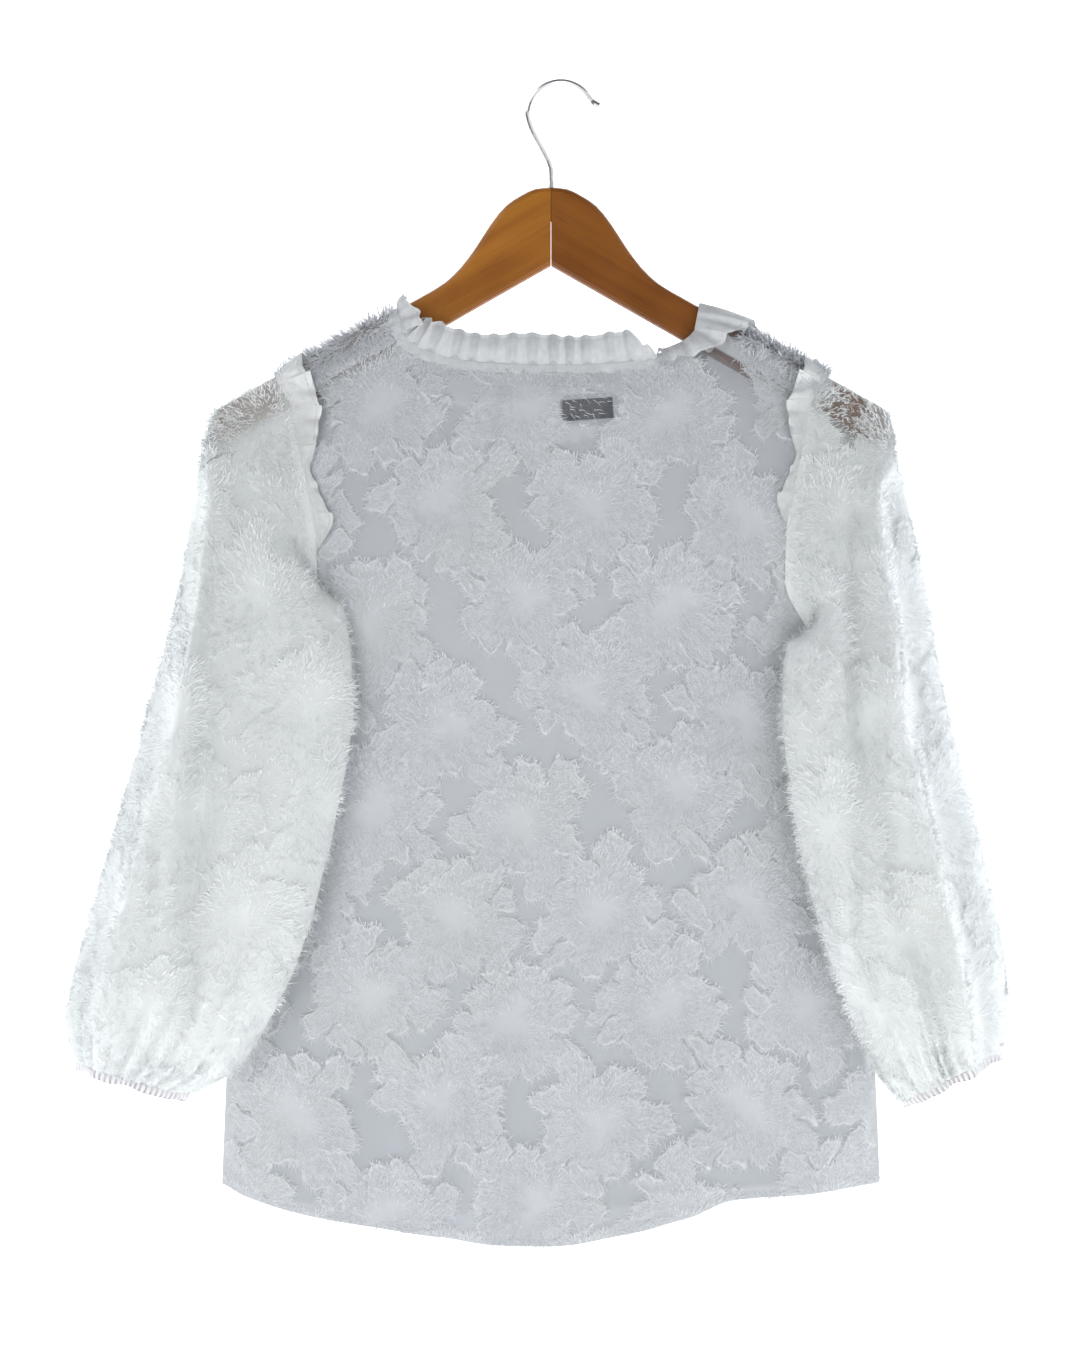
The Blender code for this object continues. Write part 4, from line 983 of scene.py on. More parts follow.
# %% Sleeve tables
SEAM_GAP = 0.0003
SLEEVE_TOP_Z, SLEEVE_END_Z = -0.2065, -0.6610
SLEEVE = (
    ("z", "left_tilt", "right_tilt", "left_in", "left_out", "right_in", "right_out",
     "fold_depth", "back", "front", "gather"),
    (SLEEVE_TOP_Z, -0.48, -0.48, 0.1800, 0.2285, 0.1800, 0.2275, 0.0110, 0.0110, 0.0105, 0.0),
    (-0.2250, -0.44, -0.43, 0.1750, 0.2325, 0.1750, 0.2295, 0.0140, 0.0170, 0.0150, 0.0),
    (-0.2500, -0.37, -0.36, 0.1700, 0.2365, 0.1700, 0.2360, 0.0190, 0.0250, 0.0205, 0.0),
    (-0.2800, -0.286, -0.28, 0.1650, 0.2405, 0.1650, 0.2410, 0.0240, 0.0340, 0.0260, 0.0),
    (-0.3100, -0.21, -0.20, 0.1500, 0.2455, 0.1600, 0.2465, 0.0275, 0.0420, 0.0310, 0.0),
    (-0.3400, -0.14, -0.13, 0.1395, 0.2505, 0.1590, 0.2510, 0.0300, 0.0485, 0.0345, 0.0),
    (-0.3650, -0.10, -0.09, 0.1345, 0.2555, 0.1570, 0.2540, 0.0315, 0.0530, 0.0365, 0.0),
    (-0.3880, -0.07, -0.06, 0.1315, 0.2605, 0.1535, 0.2575, 0.0325, 0.0560, 0.0380, 0.0),
    (-0.4200, -0.03, -0.03, 0.1305, 0.2680, 0.1520, 0.2635, 0.0335, 0.0585, 0.0395, 0.0),
    (-0.4650, 0.00, 0.00, 0.1375, 0.2805, 0.1575, 0.2745, 0.0340, 0.0605, 0.0405, 0.0),
    (-0.5150, 0.00, 0.00, 0.1480, 0.2945, 0.1660, 0.2865, 0.0340, 0.0615, 0.0410, 0.0),
    (-0.5600, 0.02, 0.03, 0.1600, 0.3070, 0.1780, 0.2965, 0.0325, 0.0610, 0.0405, 0.0),
    (-0.5980, 0.06, 0.08, 0.1760, 0.3170, 0.1925, 0.3010, 0.0290, 0.0580, 0.0385, 0.0004),
    (-0.6260, 0.12, 0.16, 0.1930, 0.3215, 0.2050, 0.3020, 0.0235, 0.0520, 0.0340, 0.0012),
    (-0.6470, 0.20, 0.32, 0.2130, 0.3190, 0.2170, 0.3005, 0.0165, 0.0410, 0.0250, 0.0017),
    (SLEEVE_END_Z, 0.28, 0.48, 0.2390, 0.3150, 0.2300, 0.2980, 0.0090, 0.0290, 0.0130, 0.0014),
)
CREST, CREST_ON_BOARD = {1: 0.82, -1: 0.70}, 0.86
SEAM_OVERLAP = 0.0020
SPANS = tuple(6 * n for n in (2, 3, 2, 4, 4, 4, 2, 3, 3, 3, 3, 3))
WORD = {1: "left", -1: "right"}
GATHER_WAVES = 18
print("a ring has", sum(SPANS), "steps")


# %% Rings
def spline_round(marks, spans, closed):
    """Centripetal Catmull-Rom curves through the marks of many rings at once: (rings, marks, 2) in."""
    count = marks.shape[1]
    pieces = []
    for i, steps in enumerate(spans):
        if closed:
            four = [marks[:, (i + k) % (count - 1)] for k in (-1, 0, 1, 2)]
        else:
            four = [marks[:, min(max(i + k, 0), count - 1)] for k in (-1, 0, 1, 2)]
            if i == 0:
                four[0] = marks[:, 0] * 2 - marks[:, 1]
            if i == count - 2:
                four[3] = marks[:, -1] * 2 - marks[:, -2]
        knots = [np.zeros((len(marks), 1, 1))]
        for a, b in zip(four, four[1:]):
            chord = np.linalg.norm(b - a, axis=1)[:, None, None]
            knots.append(knots[-1] + np.sqrt(np.maximum(chord, 1e-6)))
        t = mix(knots[1], knots[2], (np.arange(steps) / steps)[None, :, None])
        level = [p[:, None, :] for p in four]
        for wide in (1, 2, 3):
            skip = 1 if wide == 3 else 0
            level = [
                mix(low, high, (t - knots[j + skip]) / (knots[j + wide - skip] - knots[j + skip]))
                for j, (low, high) in enumerate(zip(level, level[1:]))
            ]
        pieces.append(level[0])
    pieces.append(marks[:, -1:, :])
    return np.concatenate(pieces, axis=1)


def sleeve_marks(side, z):
    """The thirteen marks of the rings at many heights, from the underarm line round the back to the front."""
    col = {name: read(SLEEVE, name, z) for name in SLEEVE[0][7:]}
    outer = read(SLEEVE, WORD[side] + "_out", z)
    inner = read(SLEEVE, WORD[side] + "_in", z)
    body = half_width(z)
    edge = body + SEAM_GAP
    above = z >= UNDERARM_Z
    inner = np.where(above, np.minimum(inner, edge), inner)
    wide = outer - inner
    droop = np.where(above, soft_step((edge - inner) / 0.028), 1.0)
    on_board = 1 - soft_step((-0.226 - z) / 0.030)
    crest = mix(CREST[side], CREST_ON_BOARD, on_board)
    back, front, fold = col["back"], col["front"], col["fold_depth"]
    seam_depth = np.where(z < -0.27, read(BODY, "edge_depth", z), body_depth(body, z))
    seam_x = np.maximum(body + 0.010, inner + 0.40 * wide)
    clear = soft_step((seam_x - body - 0.010) / 0.030)
    start_x = np.where(above, edge - SEAM_OVERLAP, seam_x)
    start_y = np.where(above, seam_depth + LAP, mix(-0.003, -0.62 * front, clear))
    end_y = np.where(above, -seam_depth - LAP, start_y)
    under_x = mix(edge + 0.05 * wide, np.maximum(body - 0.002, inner + 0.42 * (start_x - inner)), droop)
    under_low = np.maximum(body_depth(under_x, z) + 0.0050, 0.52 * fold)
    under_y = mix(start_y + 0.10 * (back - start_y), under_low, droop)
    fold_x = mix(edge + 0.10 * wide, inner, droop)
    fold_y = mix(start_y + 0.25 * (back - start_y), fold, droop)

    def at(share):
        return inner + share * wide

    marks = (
        (start_x, start_y),
        (under_x, under_y),
        (fold_x, fold_y),
        (at(mix(0.22, 0.13, droop)), mix(fold_y, back, 0.72)),
        (at(0.36), back),
        (at(crest - 0.20), back * 0.86),
        (at(crest), back * 0.93),
        (at(crest + 0.07), back * mix(0.55, 0.86, on_board)),
        (outer, 0.05 * back),
        (at(0.90), -0.68 * front),
        (at(0.70), -front),
        (mix(start_x, at(0.70), 0.45), mix(end_y, -front, 0.70)),
        (start_x, end_y),
    )
    return np.stack([np.stack(mark, axis=-1) for mark in marks], axis=1), above


def sleeve_rings(side, heights):
    """Points round the rings at many heights, with the tilt of each ring and the gathers near the cuff."""
    marks, above = sleeve_marks(side, heights)
    on_body, free = spline_round(marks, SPANS, False), spline_round(marks, SPANS, True)
    rings = np.where(above[:, None, None], on_body, free)
    middle = (rings.min(axis=1) + rings.max(axis=1))[:, None, :] / 2
    out = rings - middle
    out /= np.linalg.norm(out, axis=2, keepdims=True)
    turn = np.linspace(0, 1, rings.shape[1])
    wave = np.sin(math.tau * (GATHER_WAVES * turn + 0.12 * np.sin(math.tau * 3 * turn)))
    rings = rings + out * (read(SLEEVE, "gather", heights)[:, None] * wave)[..., None]
    tilt = read(SLEEVE, WORD[side] + "_tilt", heights)[:, None]
    z = heights[:, None] + tilt * (rings[..., 0] - marks[:, :1, 0])
    return np.stack((rings[..., 0], rings[..., 1], z), axis=-1)


def sleeve_head(drop, depth, outer):
    """A ring that lies along the hanger's arm, near its ridge."""
    inner, crest = armhole_x(drop) + SEAM_GAP - SEAM_OVERLAP, CREST_ON_BOARD
    shares = (0.0, 0.05, 0.10, 0.22, 0.36, crest - 0.20, crest, crest + 0.07, 1.0, 0.90, 0.70, 0.32, 0.0)
    depths = (1, 1, 1, 1, 1, 1, 1, 0.92, 0, -1, -1, -1, -1)
    at = np.concatenate([np.arange(n) / n + i for i, n in enumerate(SPANS)] + [[len(SPANS)]])
    x = np.interp(at, range(13), [mix(inner, outer, s) for s in shares])
    y = np.interp(at, range(13), [d * depth for d in depths])
    return np.stack((x, y, ridge(x) - drop), axis=-1)


print("ring helpers ready")

# %% [markdown]
# The rings are set close together. The first few come over the hanger's arm, where the sleeve starts as a
# narrow flat head, and from the shoulder down the rings follow the table. Long soft folds are pressed into
# the hanging part: each has its own place, width, depth and length, because real folds are never alike.

# %% Hanging folds of the sleeves
SLEEVE_FOLDS = {
    1: (
        ("top_x", "low_x", "half_width", "depth", "top_z", "low_z"),
        (0.219, 0.238, 0.0080, -0.0062, -0.275, -0.640),
        (0.186, 0.206, 0.0090, -0.0030, -0.350, -0.630),
        (0.163, 0.190, 0.0110, 0.0020, -0.400, -0.620),
        (0.235, 0.262, 0.0080, 0.0034, -0.330, -0.650),
        (0.247, 0.287, 0.0080, -0.0032, -0.440, -0.655),
    ),
    -1: (
        ("top_x", "low_x", "half_width", "depth", "top_z", "low_z"),
        (0.198, 0.207, 0.0080, -0.0058, -0.300, -0.640),
        (0.176, 0.194, 0.0090, 0.0026, -0.400, -0.620),
        (0.218, 0.240, 0.0085, 0.0034, -0.350, -0.640),
        (0.238, 0.262, 0.0085, -0.0018, -0.380, -0.645),
    ),
}
FOLD_ENDS = 0.06
HEAD_STEPS = (8, 6)
RING_COUNT = 200


def sleeve_folds(side, points):
    """How far the long folds push the sleeve out, on its back and a little less on its front."""
    x, y, z = points[..., 0], points[..., 1], points[..., 2]
    total = np.zeros_like(x)
    for top_x, low_x, wide, depth, top_z, low_z in SLEEVE_FOLDS[side][1:]:
        run = (top_z - z) / (top_z - low_z)
        fades = soft_step((top_z - z) / FOLD_ENDS) * soft_step((z - low_z) / FOLD_ENDS)
        total += depth * fades * np.exp(-(((x - mix(top_x, low_x, run)) / wide) ** 2))
    return total * mix(-0.7, 1.0, soft_step((y + 0.02) / 0.04))


def sleeve_grid(side):
    first_out = float(read(SLEEVE, WORD[side] + "_out", SLEEVE_TOP_Z))
    shoulder = float(ridge(armhole_x(SEAM_DROP)) - SEAM_DROP)
    body = sleeve_rings(side, np.linspace(shoulder, SLEEVE_END_Z, RING_COUNT))
    heads = (
        sleeve_head(-RIDGE_LIFT, RIDGE_HALF, first_out - 0.0055),
        sleeve_head(HUG_DROP, HUG_DEPTH + 0.0004, first_out - 0.0020),
        body[0],
    )
    rows = []
    for (low, high), steps in zip(zip(heads, heads[1:]), HEAD_STEPS):
        rows += [mix(low, high, k / steps) for k in range(steps)]
    grid = np.concatenate((np.array(rows), body))
    grid[..., 1] += sleeve_folds(side, grid)
    return grid


def sleeve_place(side):
    grid = sleeve_grid(side)
    tall, wide = grid.shape[:2]
    steps = np.linalg.norm(np.diff(grid, axis=1), axis=2)
    round_length = steps.sum(axis=1)
    widest = np.maximum.accumulate(round_length)
    middle = np.argmin(np.abs(np.cumsum(SPANS) - sum(SPANS[:6])))
    middle = int(np.cumsum(SPANS)[middle])
    along = np.concatenate((np.zeros((tall, 1)), np.cumsum(steps, axis=1)), axis=1)
    u = (along - along[:, middle:middle + 1]) * (widest / round_length)[:, None]
    down = np.linalg.norm(np.diff(grid[:, middle], axis=0), axis=1)
    v = np.concatenate(([0.0], -np.cumsum(down)))
    v = v[:, None] * np.ones((1, wide)) + (grid[..., 2] - grid[:, middle:middle + 1, 2]) * 0.9
    seam = np.minimum(along, round_length[:, None] - along)
    doubled = (1 - soft_step((seam - SEAM_ALLOWANCE) / SEAM_SOFT)) * 0.8
    grid = grid * np.array((side, 1.0, 1.0))

    def place(s, t):
        column, row = np.rint(s * (wide - 1)).astype(int), np.rint(t * (tall - 1)).astype(int)
        cut = np.stack((side * u[row, column] + 0.4 * side, v[row, column]), axis=1)
        return grid[row, column], cut, doubled[row, column]

    return place, wide - 1, tall - 1


def out_of_sleeve(side):
    def outward(points):
        middle = np.array((side * 0.215, 0.012, 0.0))
        return (points - middle) * np.array((1.0, 1.0, 0.0))

    return outward


sleeves = {}
for side in (1, -1):
    place, wide, tall = sleeve_place(side)
    sheet = hang("sleeve_cloth_" + WORD[side], wide, tall, place, out_of_sleeve(side), seed=20 + side)
    cap = bmesh.new()
    cap.from_mesh(sheet.object.data)
    bmesh.ops.remove_doubles(cap, verts=cap.verts, dist=0.00003)
    cap.to_mesh(sheet.object.data)
    cap.free()
    finished(sheet.object, SLEEVE_CLOTH, "cutwork_cloth", "sleeve_" + WORD[side])
    sleeves[side] = sheet
    print("sleeve", WORD[side], round(sheet.area, 3), "m2,", len(sheet.object.data.polygons), "faces")

# %% [markdown]
# ## Trims
# The neck band, the ruffles and the cuffs are plain cloth without flowers, doubled and pressed. Their cloth
# is dense, with a fine weave, and a line of stitches runs along each folded edge. One material maker serves
# them all: each material reads its trim's UV map, where across is measured from the sewn edge, so that the
# stitches keep the same distance from the edge everywhere.

# %% Trim material
STITCH_STEP, STITCH_WIDE, TRIM_WEAVE_STEP = 0.0022, 0.0007, 0.0007
SHIRRED_SHADOW, TRIM_SHADOW = (0.27, 0.23, 0.26), 0.60


def stitch_group():
    """A dashed line of stitches along one value of V, as a mask."""
    tree, given, out = group_of(
        "stitches",
        {"Cut": ("Vector", None), "Line": ("Float", 0.0)},
        {"Mask": "Float"},
    )
    along, across, _ = parts_of(tree, given["Cut"])
    off = calc(tree, "ABSOLUTE", calc(tree, "SUBTRACT", across, given["Line"]))
    line = calc(tree, "MULTIPLY_ADD", off, -2 / STITCH_WIDE, 1.6, clamp=True)
    dash = calc(tree, "MULTIPLY_ADD", sine_of(tree, along, math.tau / STITCH_STEP), 3.0, 1.8, clamp=True)
    wire(tree, calc(tree, "MULTIPLY", line, dash), out["Mask"])
    return tree


STITCHES = stitch_group()


def trim_cloth(name, colour, alpha, stitch_line, shirred=0.0):
    made, shader = shade(name, colour, 0.85)
    tree = made.node_tree
    cut = cut_map(tree)
    seam = use_group(tree, STITCHES, Cut=cut, Line=stitch_line)["Mask"]
    cloud = noise(tree, cut, 160.0, 2.0)
    warp, weft = [sine_of(tree, value, math.tau / TRIM_WEAVE_STEP) for value in parts_of(tree, cut)[:2]]
    weave = calc(tree, "MULTIPLY", warp, weft)
    height = calc(tree, "MULTIPLY_ADD", weave, 0.10, calc(tree, "MULTIPLY", cloud, 0.5))
    height = calc(tree, "MULTIPLY_ADD", seam, -0.8, height)
    dark = calc(tree, "MULTIPLY_ADD", cloud, -0.9, 0.75, clamp=True)
    dark = calc(tree, "MAXIMUM", dark, calc(tree, "MULTIPLY", seam, 0.5))
    shadowed = [TRIM_SHADOW * c for c in colour]
    if shirred:
        valley = calc(tree, "MULTIPLY", named_value(tree, "valley"), shirred)
        dark = calc(tree, "MAXIMUM", calc(tree, "MULTIPLY", dark, 0.4), valley)
        shadowed = SHIRRED_SHADOW
    tint = blend_colours(tree, dark, (*colour, 1.0), (*shadowed, 1.0))
    tree.links.new(tint, shader.inputs["Base Color"])
    shader.inputs["Alpha"].default_value = alpha
    shader.inputs["Sheen Weight"].default_value = 0.15
    bumped(tree, shader, height, 0.0005, 0.7)
    return made


RUFFLE_CLOTH = trim_cloth("ruffle_cloth", (0.70, 0.715, 0.725), 0.90, 0.0195)
BAND_CLOTH = trim_cloth("band_cloth", (0.66, 0.675, 0.69), 1.0, 0.0056)
ARMHOLE_CLOTH = trim_cloth("armhole_ruffle_cloth", (0.78, 0.79, 0.785), 0.96, 0.0165)
CUFF_CLOTH = trim_cloth("cuff_cloth", (0.84, 0.84, 0.85), 1.0, 0.0060, shirred=0.9)
print("trim materials ready")


# %% Strips
def strip(name, rows, lengths, material_, slot, nodes, wrap, valley=None):
    """A sewn strip: rows is an array (across, along, 3), lengths the flat size (along, across)."""
    tall, wide = rows.shape[:2]
    data, flat = flat_grid(name, wide - 1, tall - 1)
    flat = flat + 0.5
    column, row = np.rint(flat[:, 0] * (wide - 1)).astype(int), np.rint(flat[:, 1] * (tall - 1)).astype(int)
    data.vertices.foreach_set("co", (rows[row, column] + HANGER_MIDDLE).ravel())
    keep_cut(data, np.stack((flat[:, 0] * lengths[0], flat[:, 1] * lengths[1]), axis=1))
    if valley is not None:
        keep_values(data, "valley", valley[row, column])
    mesh = bmesh.new()
    mesh.from_mesh(data)
    if wrap:
        bmesh.ops.remove_doubles(mesh, verts=mesh.verts, dist=0.00001)
    bmesh.ops.recalc_face_normals(mesh, faces=mesh.faces)
    mesh.to_mesh(data)
    mesh.free()
    data.shade_smooth()
    made = placed(name, data)
    finished(made, material_, slot, *nodes)
    made["area"] = sum(f.area for f in data.polygons)
    return made


def unit(v):
    return v / np.linalg.norm(v, axis=-1, keepdims=True)


def along_path(points, normals, count, closed):
    """Evenly spaced places on a path, with their direction, normal and running share."""
    if closed:
        points, normals = np.vstack((points, points[:1])), np.vstack((normals, normals[:1]))
    runs = np.concatenate(([0.0], np.cumsum(np.linalg.norm(np.diff(points, axis=0), axis=1))))
    want = np.linspace(0, runs[-1], count)
    spot = np.stack([np.interp(want, runs, points[:, k]) for k in range(3)], axis=1)
    normal = unit(np.stack([np.interp(want, runs, normals[:, k]) for k in range(3)], axis=1))
    if closed:
        ahead, behind = np.roll(spot[:-1], -2, axis=0), np.roll(spot[:-1], 2, axis=0)
        along = unit(ahead - behind)
        along = np.vstack((along, along[:1]))
    else:
        along = unit(np.gradient(spot, axis=0))
    return spot, along, normal, want / runs[-1], runs[-1]


print("strip maker ready")

# %% [markdown]
# The neck edge runs once round: along the back, over the arm on the wearer's left, along the front and over
# the right arm. The band continues the cloth into the opening, and the ruffle stands on the band. Two tables
# once round give the ruffle's lean and its height. It goes on straight along the back, stands half up over
# the left arm, where it is lowest, and turns right over on the right shoulder, where it sags onto the cloth.

# %% Neck path
BAND_WIDTH, BAND_LAP, RUFFLE_WIDTH, NECK_GATHERS = 0.0065, 0.0022, 0.0225, 46
RUFFLE_LEAN = (
    ("turn", "degrees"),
    (0.00, 8.0),
    (0.08, 8.0),
    (0.12, 12.0),
    (0.15, 20.0),
    (0.18, 27.0),
    (0.21, 34.0),
    (0.25, 44.0),
    (0.34, 38.0),
    (0.50, 24.0),
    (0.66, 34.0),
    (0.700, 66.0),
    (0.735, 150.0),
    (0.770, 168.0),
    (0.845, 168.0),
    (0.870, 150.0),
    (0.890, 70.0),
    (0.915, 14.0),
    (1.00, 8.0),
)
RUFFLE_TALL = (
    ("turn", "share"),
    (0.000, 0.98),
    (0.125, 0.96),
    (0.160, 0.94),
    (0.185, 0.92),
    (0.212, 0.52),
    (0.245, 0.24),
    (0.300, 0.26),
    (0.360, 0.95),
    (0.640, 0.95),
    (0.700, 0.55),
    (0.735, 0.65),
    (0.760, 1.10),
    (0.788, 1.70),
    (0.803, 1.40),
    (0.820, 0.92),
    (0.840, 0.66),
    (0.862, 0.50),
    (0.890, 0.70),
    (0.915, 0.96),
    (1.000, 0.98),
)
TURNED_SAG, TURNED_CLEAR = 0.0060, 0.0012


def neck_path():
    corner = float(ridge(NECK_HALF)) - SEAM_DROP
    points, normals = [], []
    for sign, neck in ((1, BACK_NECK), (-1, FRONT_NECK)):
        x = float(neck_half_at(corner, *neck)) * (1 - (1 - np.linspace(0, 1, 60)) ** NECK_SPREAD)
        z = neck_height(x, *neck)
        edge = np.stack((x, sign * body_depth(x, z), z), axis=1)
        lean = np.tile((0.0, float(sign), 0.1), (len(edge), 1))
        points.append(edge[::sign])
        normals.append(lean)
        if sign > 0:
            for depth, drop, degrees in (
                (HUG_DEPTH, HUG_DROP, 20),
                (RIDGE_HALF, -RIDGE_LIFT, 60),
                (-RIDGE_HALF, -RIDGE_LIFT, 120),
                (-HUG_DEPTH, HUG_DROP, 160),
            ):
                upward = math.sin(math.radians(degrees))
                points.append([[NECK_HALF, depth, float(ridge(NECK_HALF)) - drop]])
                normals.append([[upward * ARM_SLOPE, math.cos(math.radians(degrees)), upward]])
    half, lean = np.vstack(points), unit(np.vstack(normals))
    mirror = np.array((-1.0, 1.0, 1.0))
    return np.vstack((half, (half * mirror)[-2:0:-1])), np.vstack((lean, (lean * mirror)[-2:0:-1]))


def into_opening(spot, along, normal):
    inward = unit(np.cross(along, normal))
    hole = np.stack((np.zeros(len(spot)), np.zeros(len(spot)), np.maximum(-0.150, spot[:, 2] + 0.03)), axis=1)
    wrong = np.sum(inward * (hole - spot), axis=1) < 0
    return np.where(wrong[:, None], -inward, inward)


NECK_POINTS, NECK_NORMALS = neck_path()
spot, along, normal, turn, neck_length = along_path(NECK_POINTS, NECK_NORMALS, 361, True)
inward = into_opening(spot, along, normal)
share = np.linspace(0, 1, 7)[:, None, None]
puff = np.sin(math.pi * share) * 0.0004 + 0.00015 * np.sin(turn[None, :, None] * math.tau * 60)
rows = spot + inward * mix(-BAND_LAP, BAND_WIDTH, share) + normal * (puff + 0.0007 * (1 - share))
strip("neck_band_cloth", rows, (neck_length, BAND_WIDTH), BAND_CLOTH, "trim", ["neck_band"], True)
print("neck band", round(neck_length, 3), "m round")


# %% Neck ruffle
def gather_wave(turn, count):
    swing = 0.55 * np.sin(5 * turn * math.tau) + 0.60 * np.sin(11 * turn * math.tau + 1.0)
    swing = swing + 0.40 * np.sin(17 * turn * math.tau + 2.2)
    height = 0.80 + 0.20 * np.sin(7 * turn * math.tau + 2.0)
    return height, count * turn * math.tau + swing


def pleat(phase):
    """Wide flat pleats with narrow valleys, and how far each overlaps its valley sideways."""
    valley = np.exp(-((np.mod(phase / math.tau + 0.5, 1.0) - 0.5) / 0.13) ** 2)
    return 0.75 - 1.9 * valley, np.sin(phase) * (0.5 + 0.5 * np.cos(phase))


NECK_COLUMNS, NECK_FULLNESS = 1141, 1.6
TURNED_LIFT, TUCK_IN = 1.4 * CLOTH, 0.0042
spot, along, normal, turn, neck_length = along_path(NECK_POINTS, NECK_NORMALS, NECK_COLUMNS, True)
inward = into_opening(spot, along, normal)
height, phase = gather_wave(turn, NECK_GATHERS)
fold, slide = pleat(phase)
lean = np.radians(read(RUFFLE_LEAN, "degrees", turn))[:, None]
rise = inward * np.cos(lean) + normal * np.sin(lean)
aside = unit(np.cross(along, rise))
flip = np.sum(aside * (normal * np.cos(lean) - inward * np.sin(lean)), axis=1) < 0
aside = np.where(flip[:, None], -aside, aside)
turned = soft_step((lean - 1.3) / 0.8)
clear = SEAM_GAP * 1.7 + CLOTH * (0.5 * np.sin(lean) + turned)
tuck = TUCK_IN * (1 - turned)
base = spot + inward * (BAND_WIDTH + clear - tuck) + normal * (TURNED_LIFT * turned - 0.3 * tuck)
tallness = read(RUFFLE_TALL, "share", turn)
ruffle_rows = []
for share in np.linspace(0, 1, 15):
    wave = (height * fold)[:, None] * mix(0.0004, 0.0036, share**0.8)
    slip = (height * slide)[:, None] * mix(0.0010, 0.0022, share)
    bow = 0.0022 * math.sin(math.pi * share)
    uneven = 1 + 0.05 * np.sin(turn * math.tau * 9) - 0.03 * fold * share
    tall = (RUFFLE_WIDTH * share * uneven * tallness)[:, None]
    edge_roll = 0.0008 * max(0.0, share - 0.9) / 0.1
    sag = np.array((0.0, 0.0, -TURNED_SAG)) * turned * share * np.maximum(0.0, tallness - 0.7)[:, None]
    push = mix(wave + bow + edge_roll, -0.5 * wave - bow - TURNED_CLEAR * share, turned)
    ruffle_rows.append(base + rise * tall + aside * push + along * slip + sag)
neck_ruffle = strip(
    "neck_ruffle_cloth", np.array(ruffle_rows), (neck_length * NECK_FULLNESS, RUFFLE_WIDTH), RUFFLE_CLOTH,
    "trim", ["neck_ruffle"], True,
)
print("neck ruffle", round(neck_ruffle["area"] / RUFFLE_WIDTH, 2), "m of strip,", NECK_GATHERS, "pleats")

# %% [markdown]
# The armhole ruffles are short strips, pointed at both ends and sewn into the armhole. They lie towards the
# neck and their free edge ripples. A table gives their width: a small leaf near the lower end of the back, a
# narrow waist above it, and then the full width over the shoulder.

# %% Armhole ruffles
ARM_RUFFLE = {1: 0.020, -1: 0.016}
ARM_RUFFLE_END_Z = {1: -0.309, -1: -0.292}
ARM_RUFFLE_GATHERS, ARM_RUFFLE_FULLNESS = 11, 1.3
ARM_RUFFLE_TUCK, ARM_RUFFLE_SLANT = -0.16, 1.9
ARM_RUFFLE_WIDTH = (
    ("turn", "share"),
    (0.000, 0.05),
    (0.030, 0.36),
    (0.064, 0.54),
    (0.110, 0.46),
    (0.160, 0.28),
    (0.205, 0.18),
    (0.250, 0.42),
    (0.310, 0.74),
    (0.500, 0.90),
    (0.780, 0.96),
    (0.920, 0.60),
    (1.000, 0.06),
)


def armhole_path(side):
    end = ARM_RUFFLE_END_Z[side]
    top = float(ridge(armhole_x(SEAM_DROP)) - SEAM_DROP)
    z = np.linspace(end, top, 40)
    x = half_width(z)
    points = [np.stack((x, body_depth(x, z), z), axis=1)]
    normals = [np.tile((0.0, 1.0, 0.25), (len(z), 1))]
    for depth, drop, degrees in ((HUG_DEPTH, HUG_DROP, 30), (RIDGE_HALF, -RIDGE_LIFT, 70)):
        x = armhole_x(drop)
        points.append([[x, depth, float(ridge(x)) - drop]])
        normals.append([[0.0, math.cos(math.radians(degrees)), math.sin(math.radians(degrees))]])
    half, lean = np.vstack(points), np.vstack(normals)
    mirror = np.array((1.0, -1.0, 1.0))
    points = np.vstack((half, (half * mirror)[::-1])) * np.array((side, 1.0, 1.0))
    return points, unit(np.vstack((lean, (lean * mirror)[::-1])))


for side in (1, -1):
    points, normals = armhole_path(side)
    spot, along, normal, turn, length = along_path(points, normals, 421, False)
    upward = 0.25 * (1 - np.abs(2 * turn - 1))
    inward = unit(np.stack((np.full(len(turn), -side), np.zeros(len(turn)), upward), axis=1))
    full = read(ARM_RUFFLE_WIDTH, "share", turn)
    width = ARM_RUFFLE[side] * full
    over_arm = soft_step(1 - np.abs(2 * turn - 1) / 0.25)
    base = spot + inward * 0.0022 + normal * (LAP + 0.0003 + 0.0016 * over_arm)[:, None]
    rows = []
    for reach in np.linspace(ARM_RUFFLE_TUCK, 1, 14):
        height, phase = gather_wave(turn, ARM_RUFFLE_GATHERS)
        phase = phase + ARM_RUFFLE_SLANT * reach
        out = max(0.0, reach)
        crest = height * (0.72 * np.sin(phase) + 0.28 * np.sin(2 * phase + 0.8))
        lift = out * (0.40 * width + (0.0044 * crest + 0.0022) * full)
        slip = out * full * (0.0030 * np.cos(phase) + 0.0012 * np.sin(2 * phase))
        edge = width * reach * (1 + 0.10 * out * np.sin(phase + 1.1))
        rows.append(base + inward * edge[:, None] + normal * lift[:, None] + along * slip[:, None])
    flat_size = (length * ARM_RUFFLE_FULLNESS, ARM_RUFFLE[side])
    made = strip(
        "armhole_ruffle_cloth_" + WORD[side], np.array(rows), flat_size, ARMHOLE_CLOTH, "trim",
        ["armhole_ruffle_" + WORD[side]], False,
    )
    print(made.name, round(length, 3), "m along the armhole")

# %% [markdown]
# A cuff is a narrow band with elastic in it. The elastic pulls the band into many small even gathers, and
# their valleys look dark. Each gather is real geometry, because the cuff shows against the white behind it.
# The lower edge waves, because a band that hangs loose doesn't stay level.

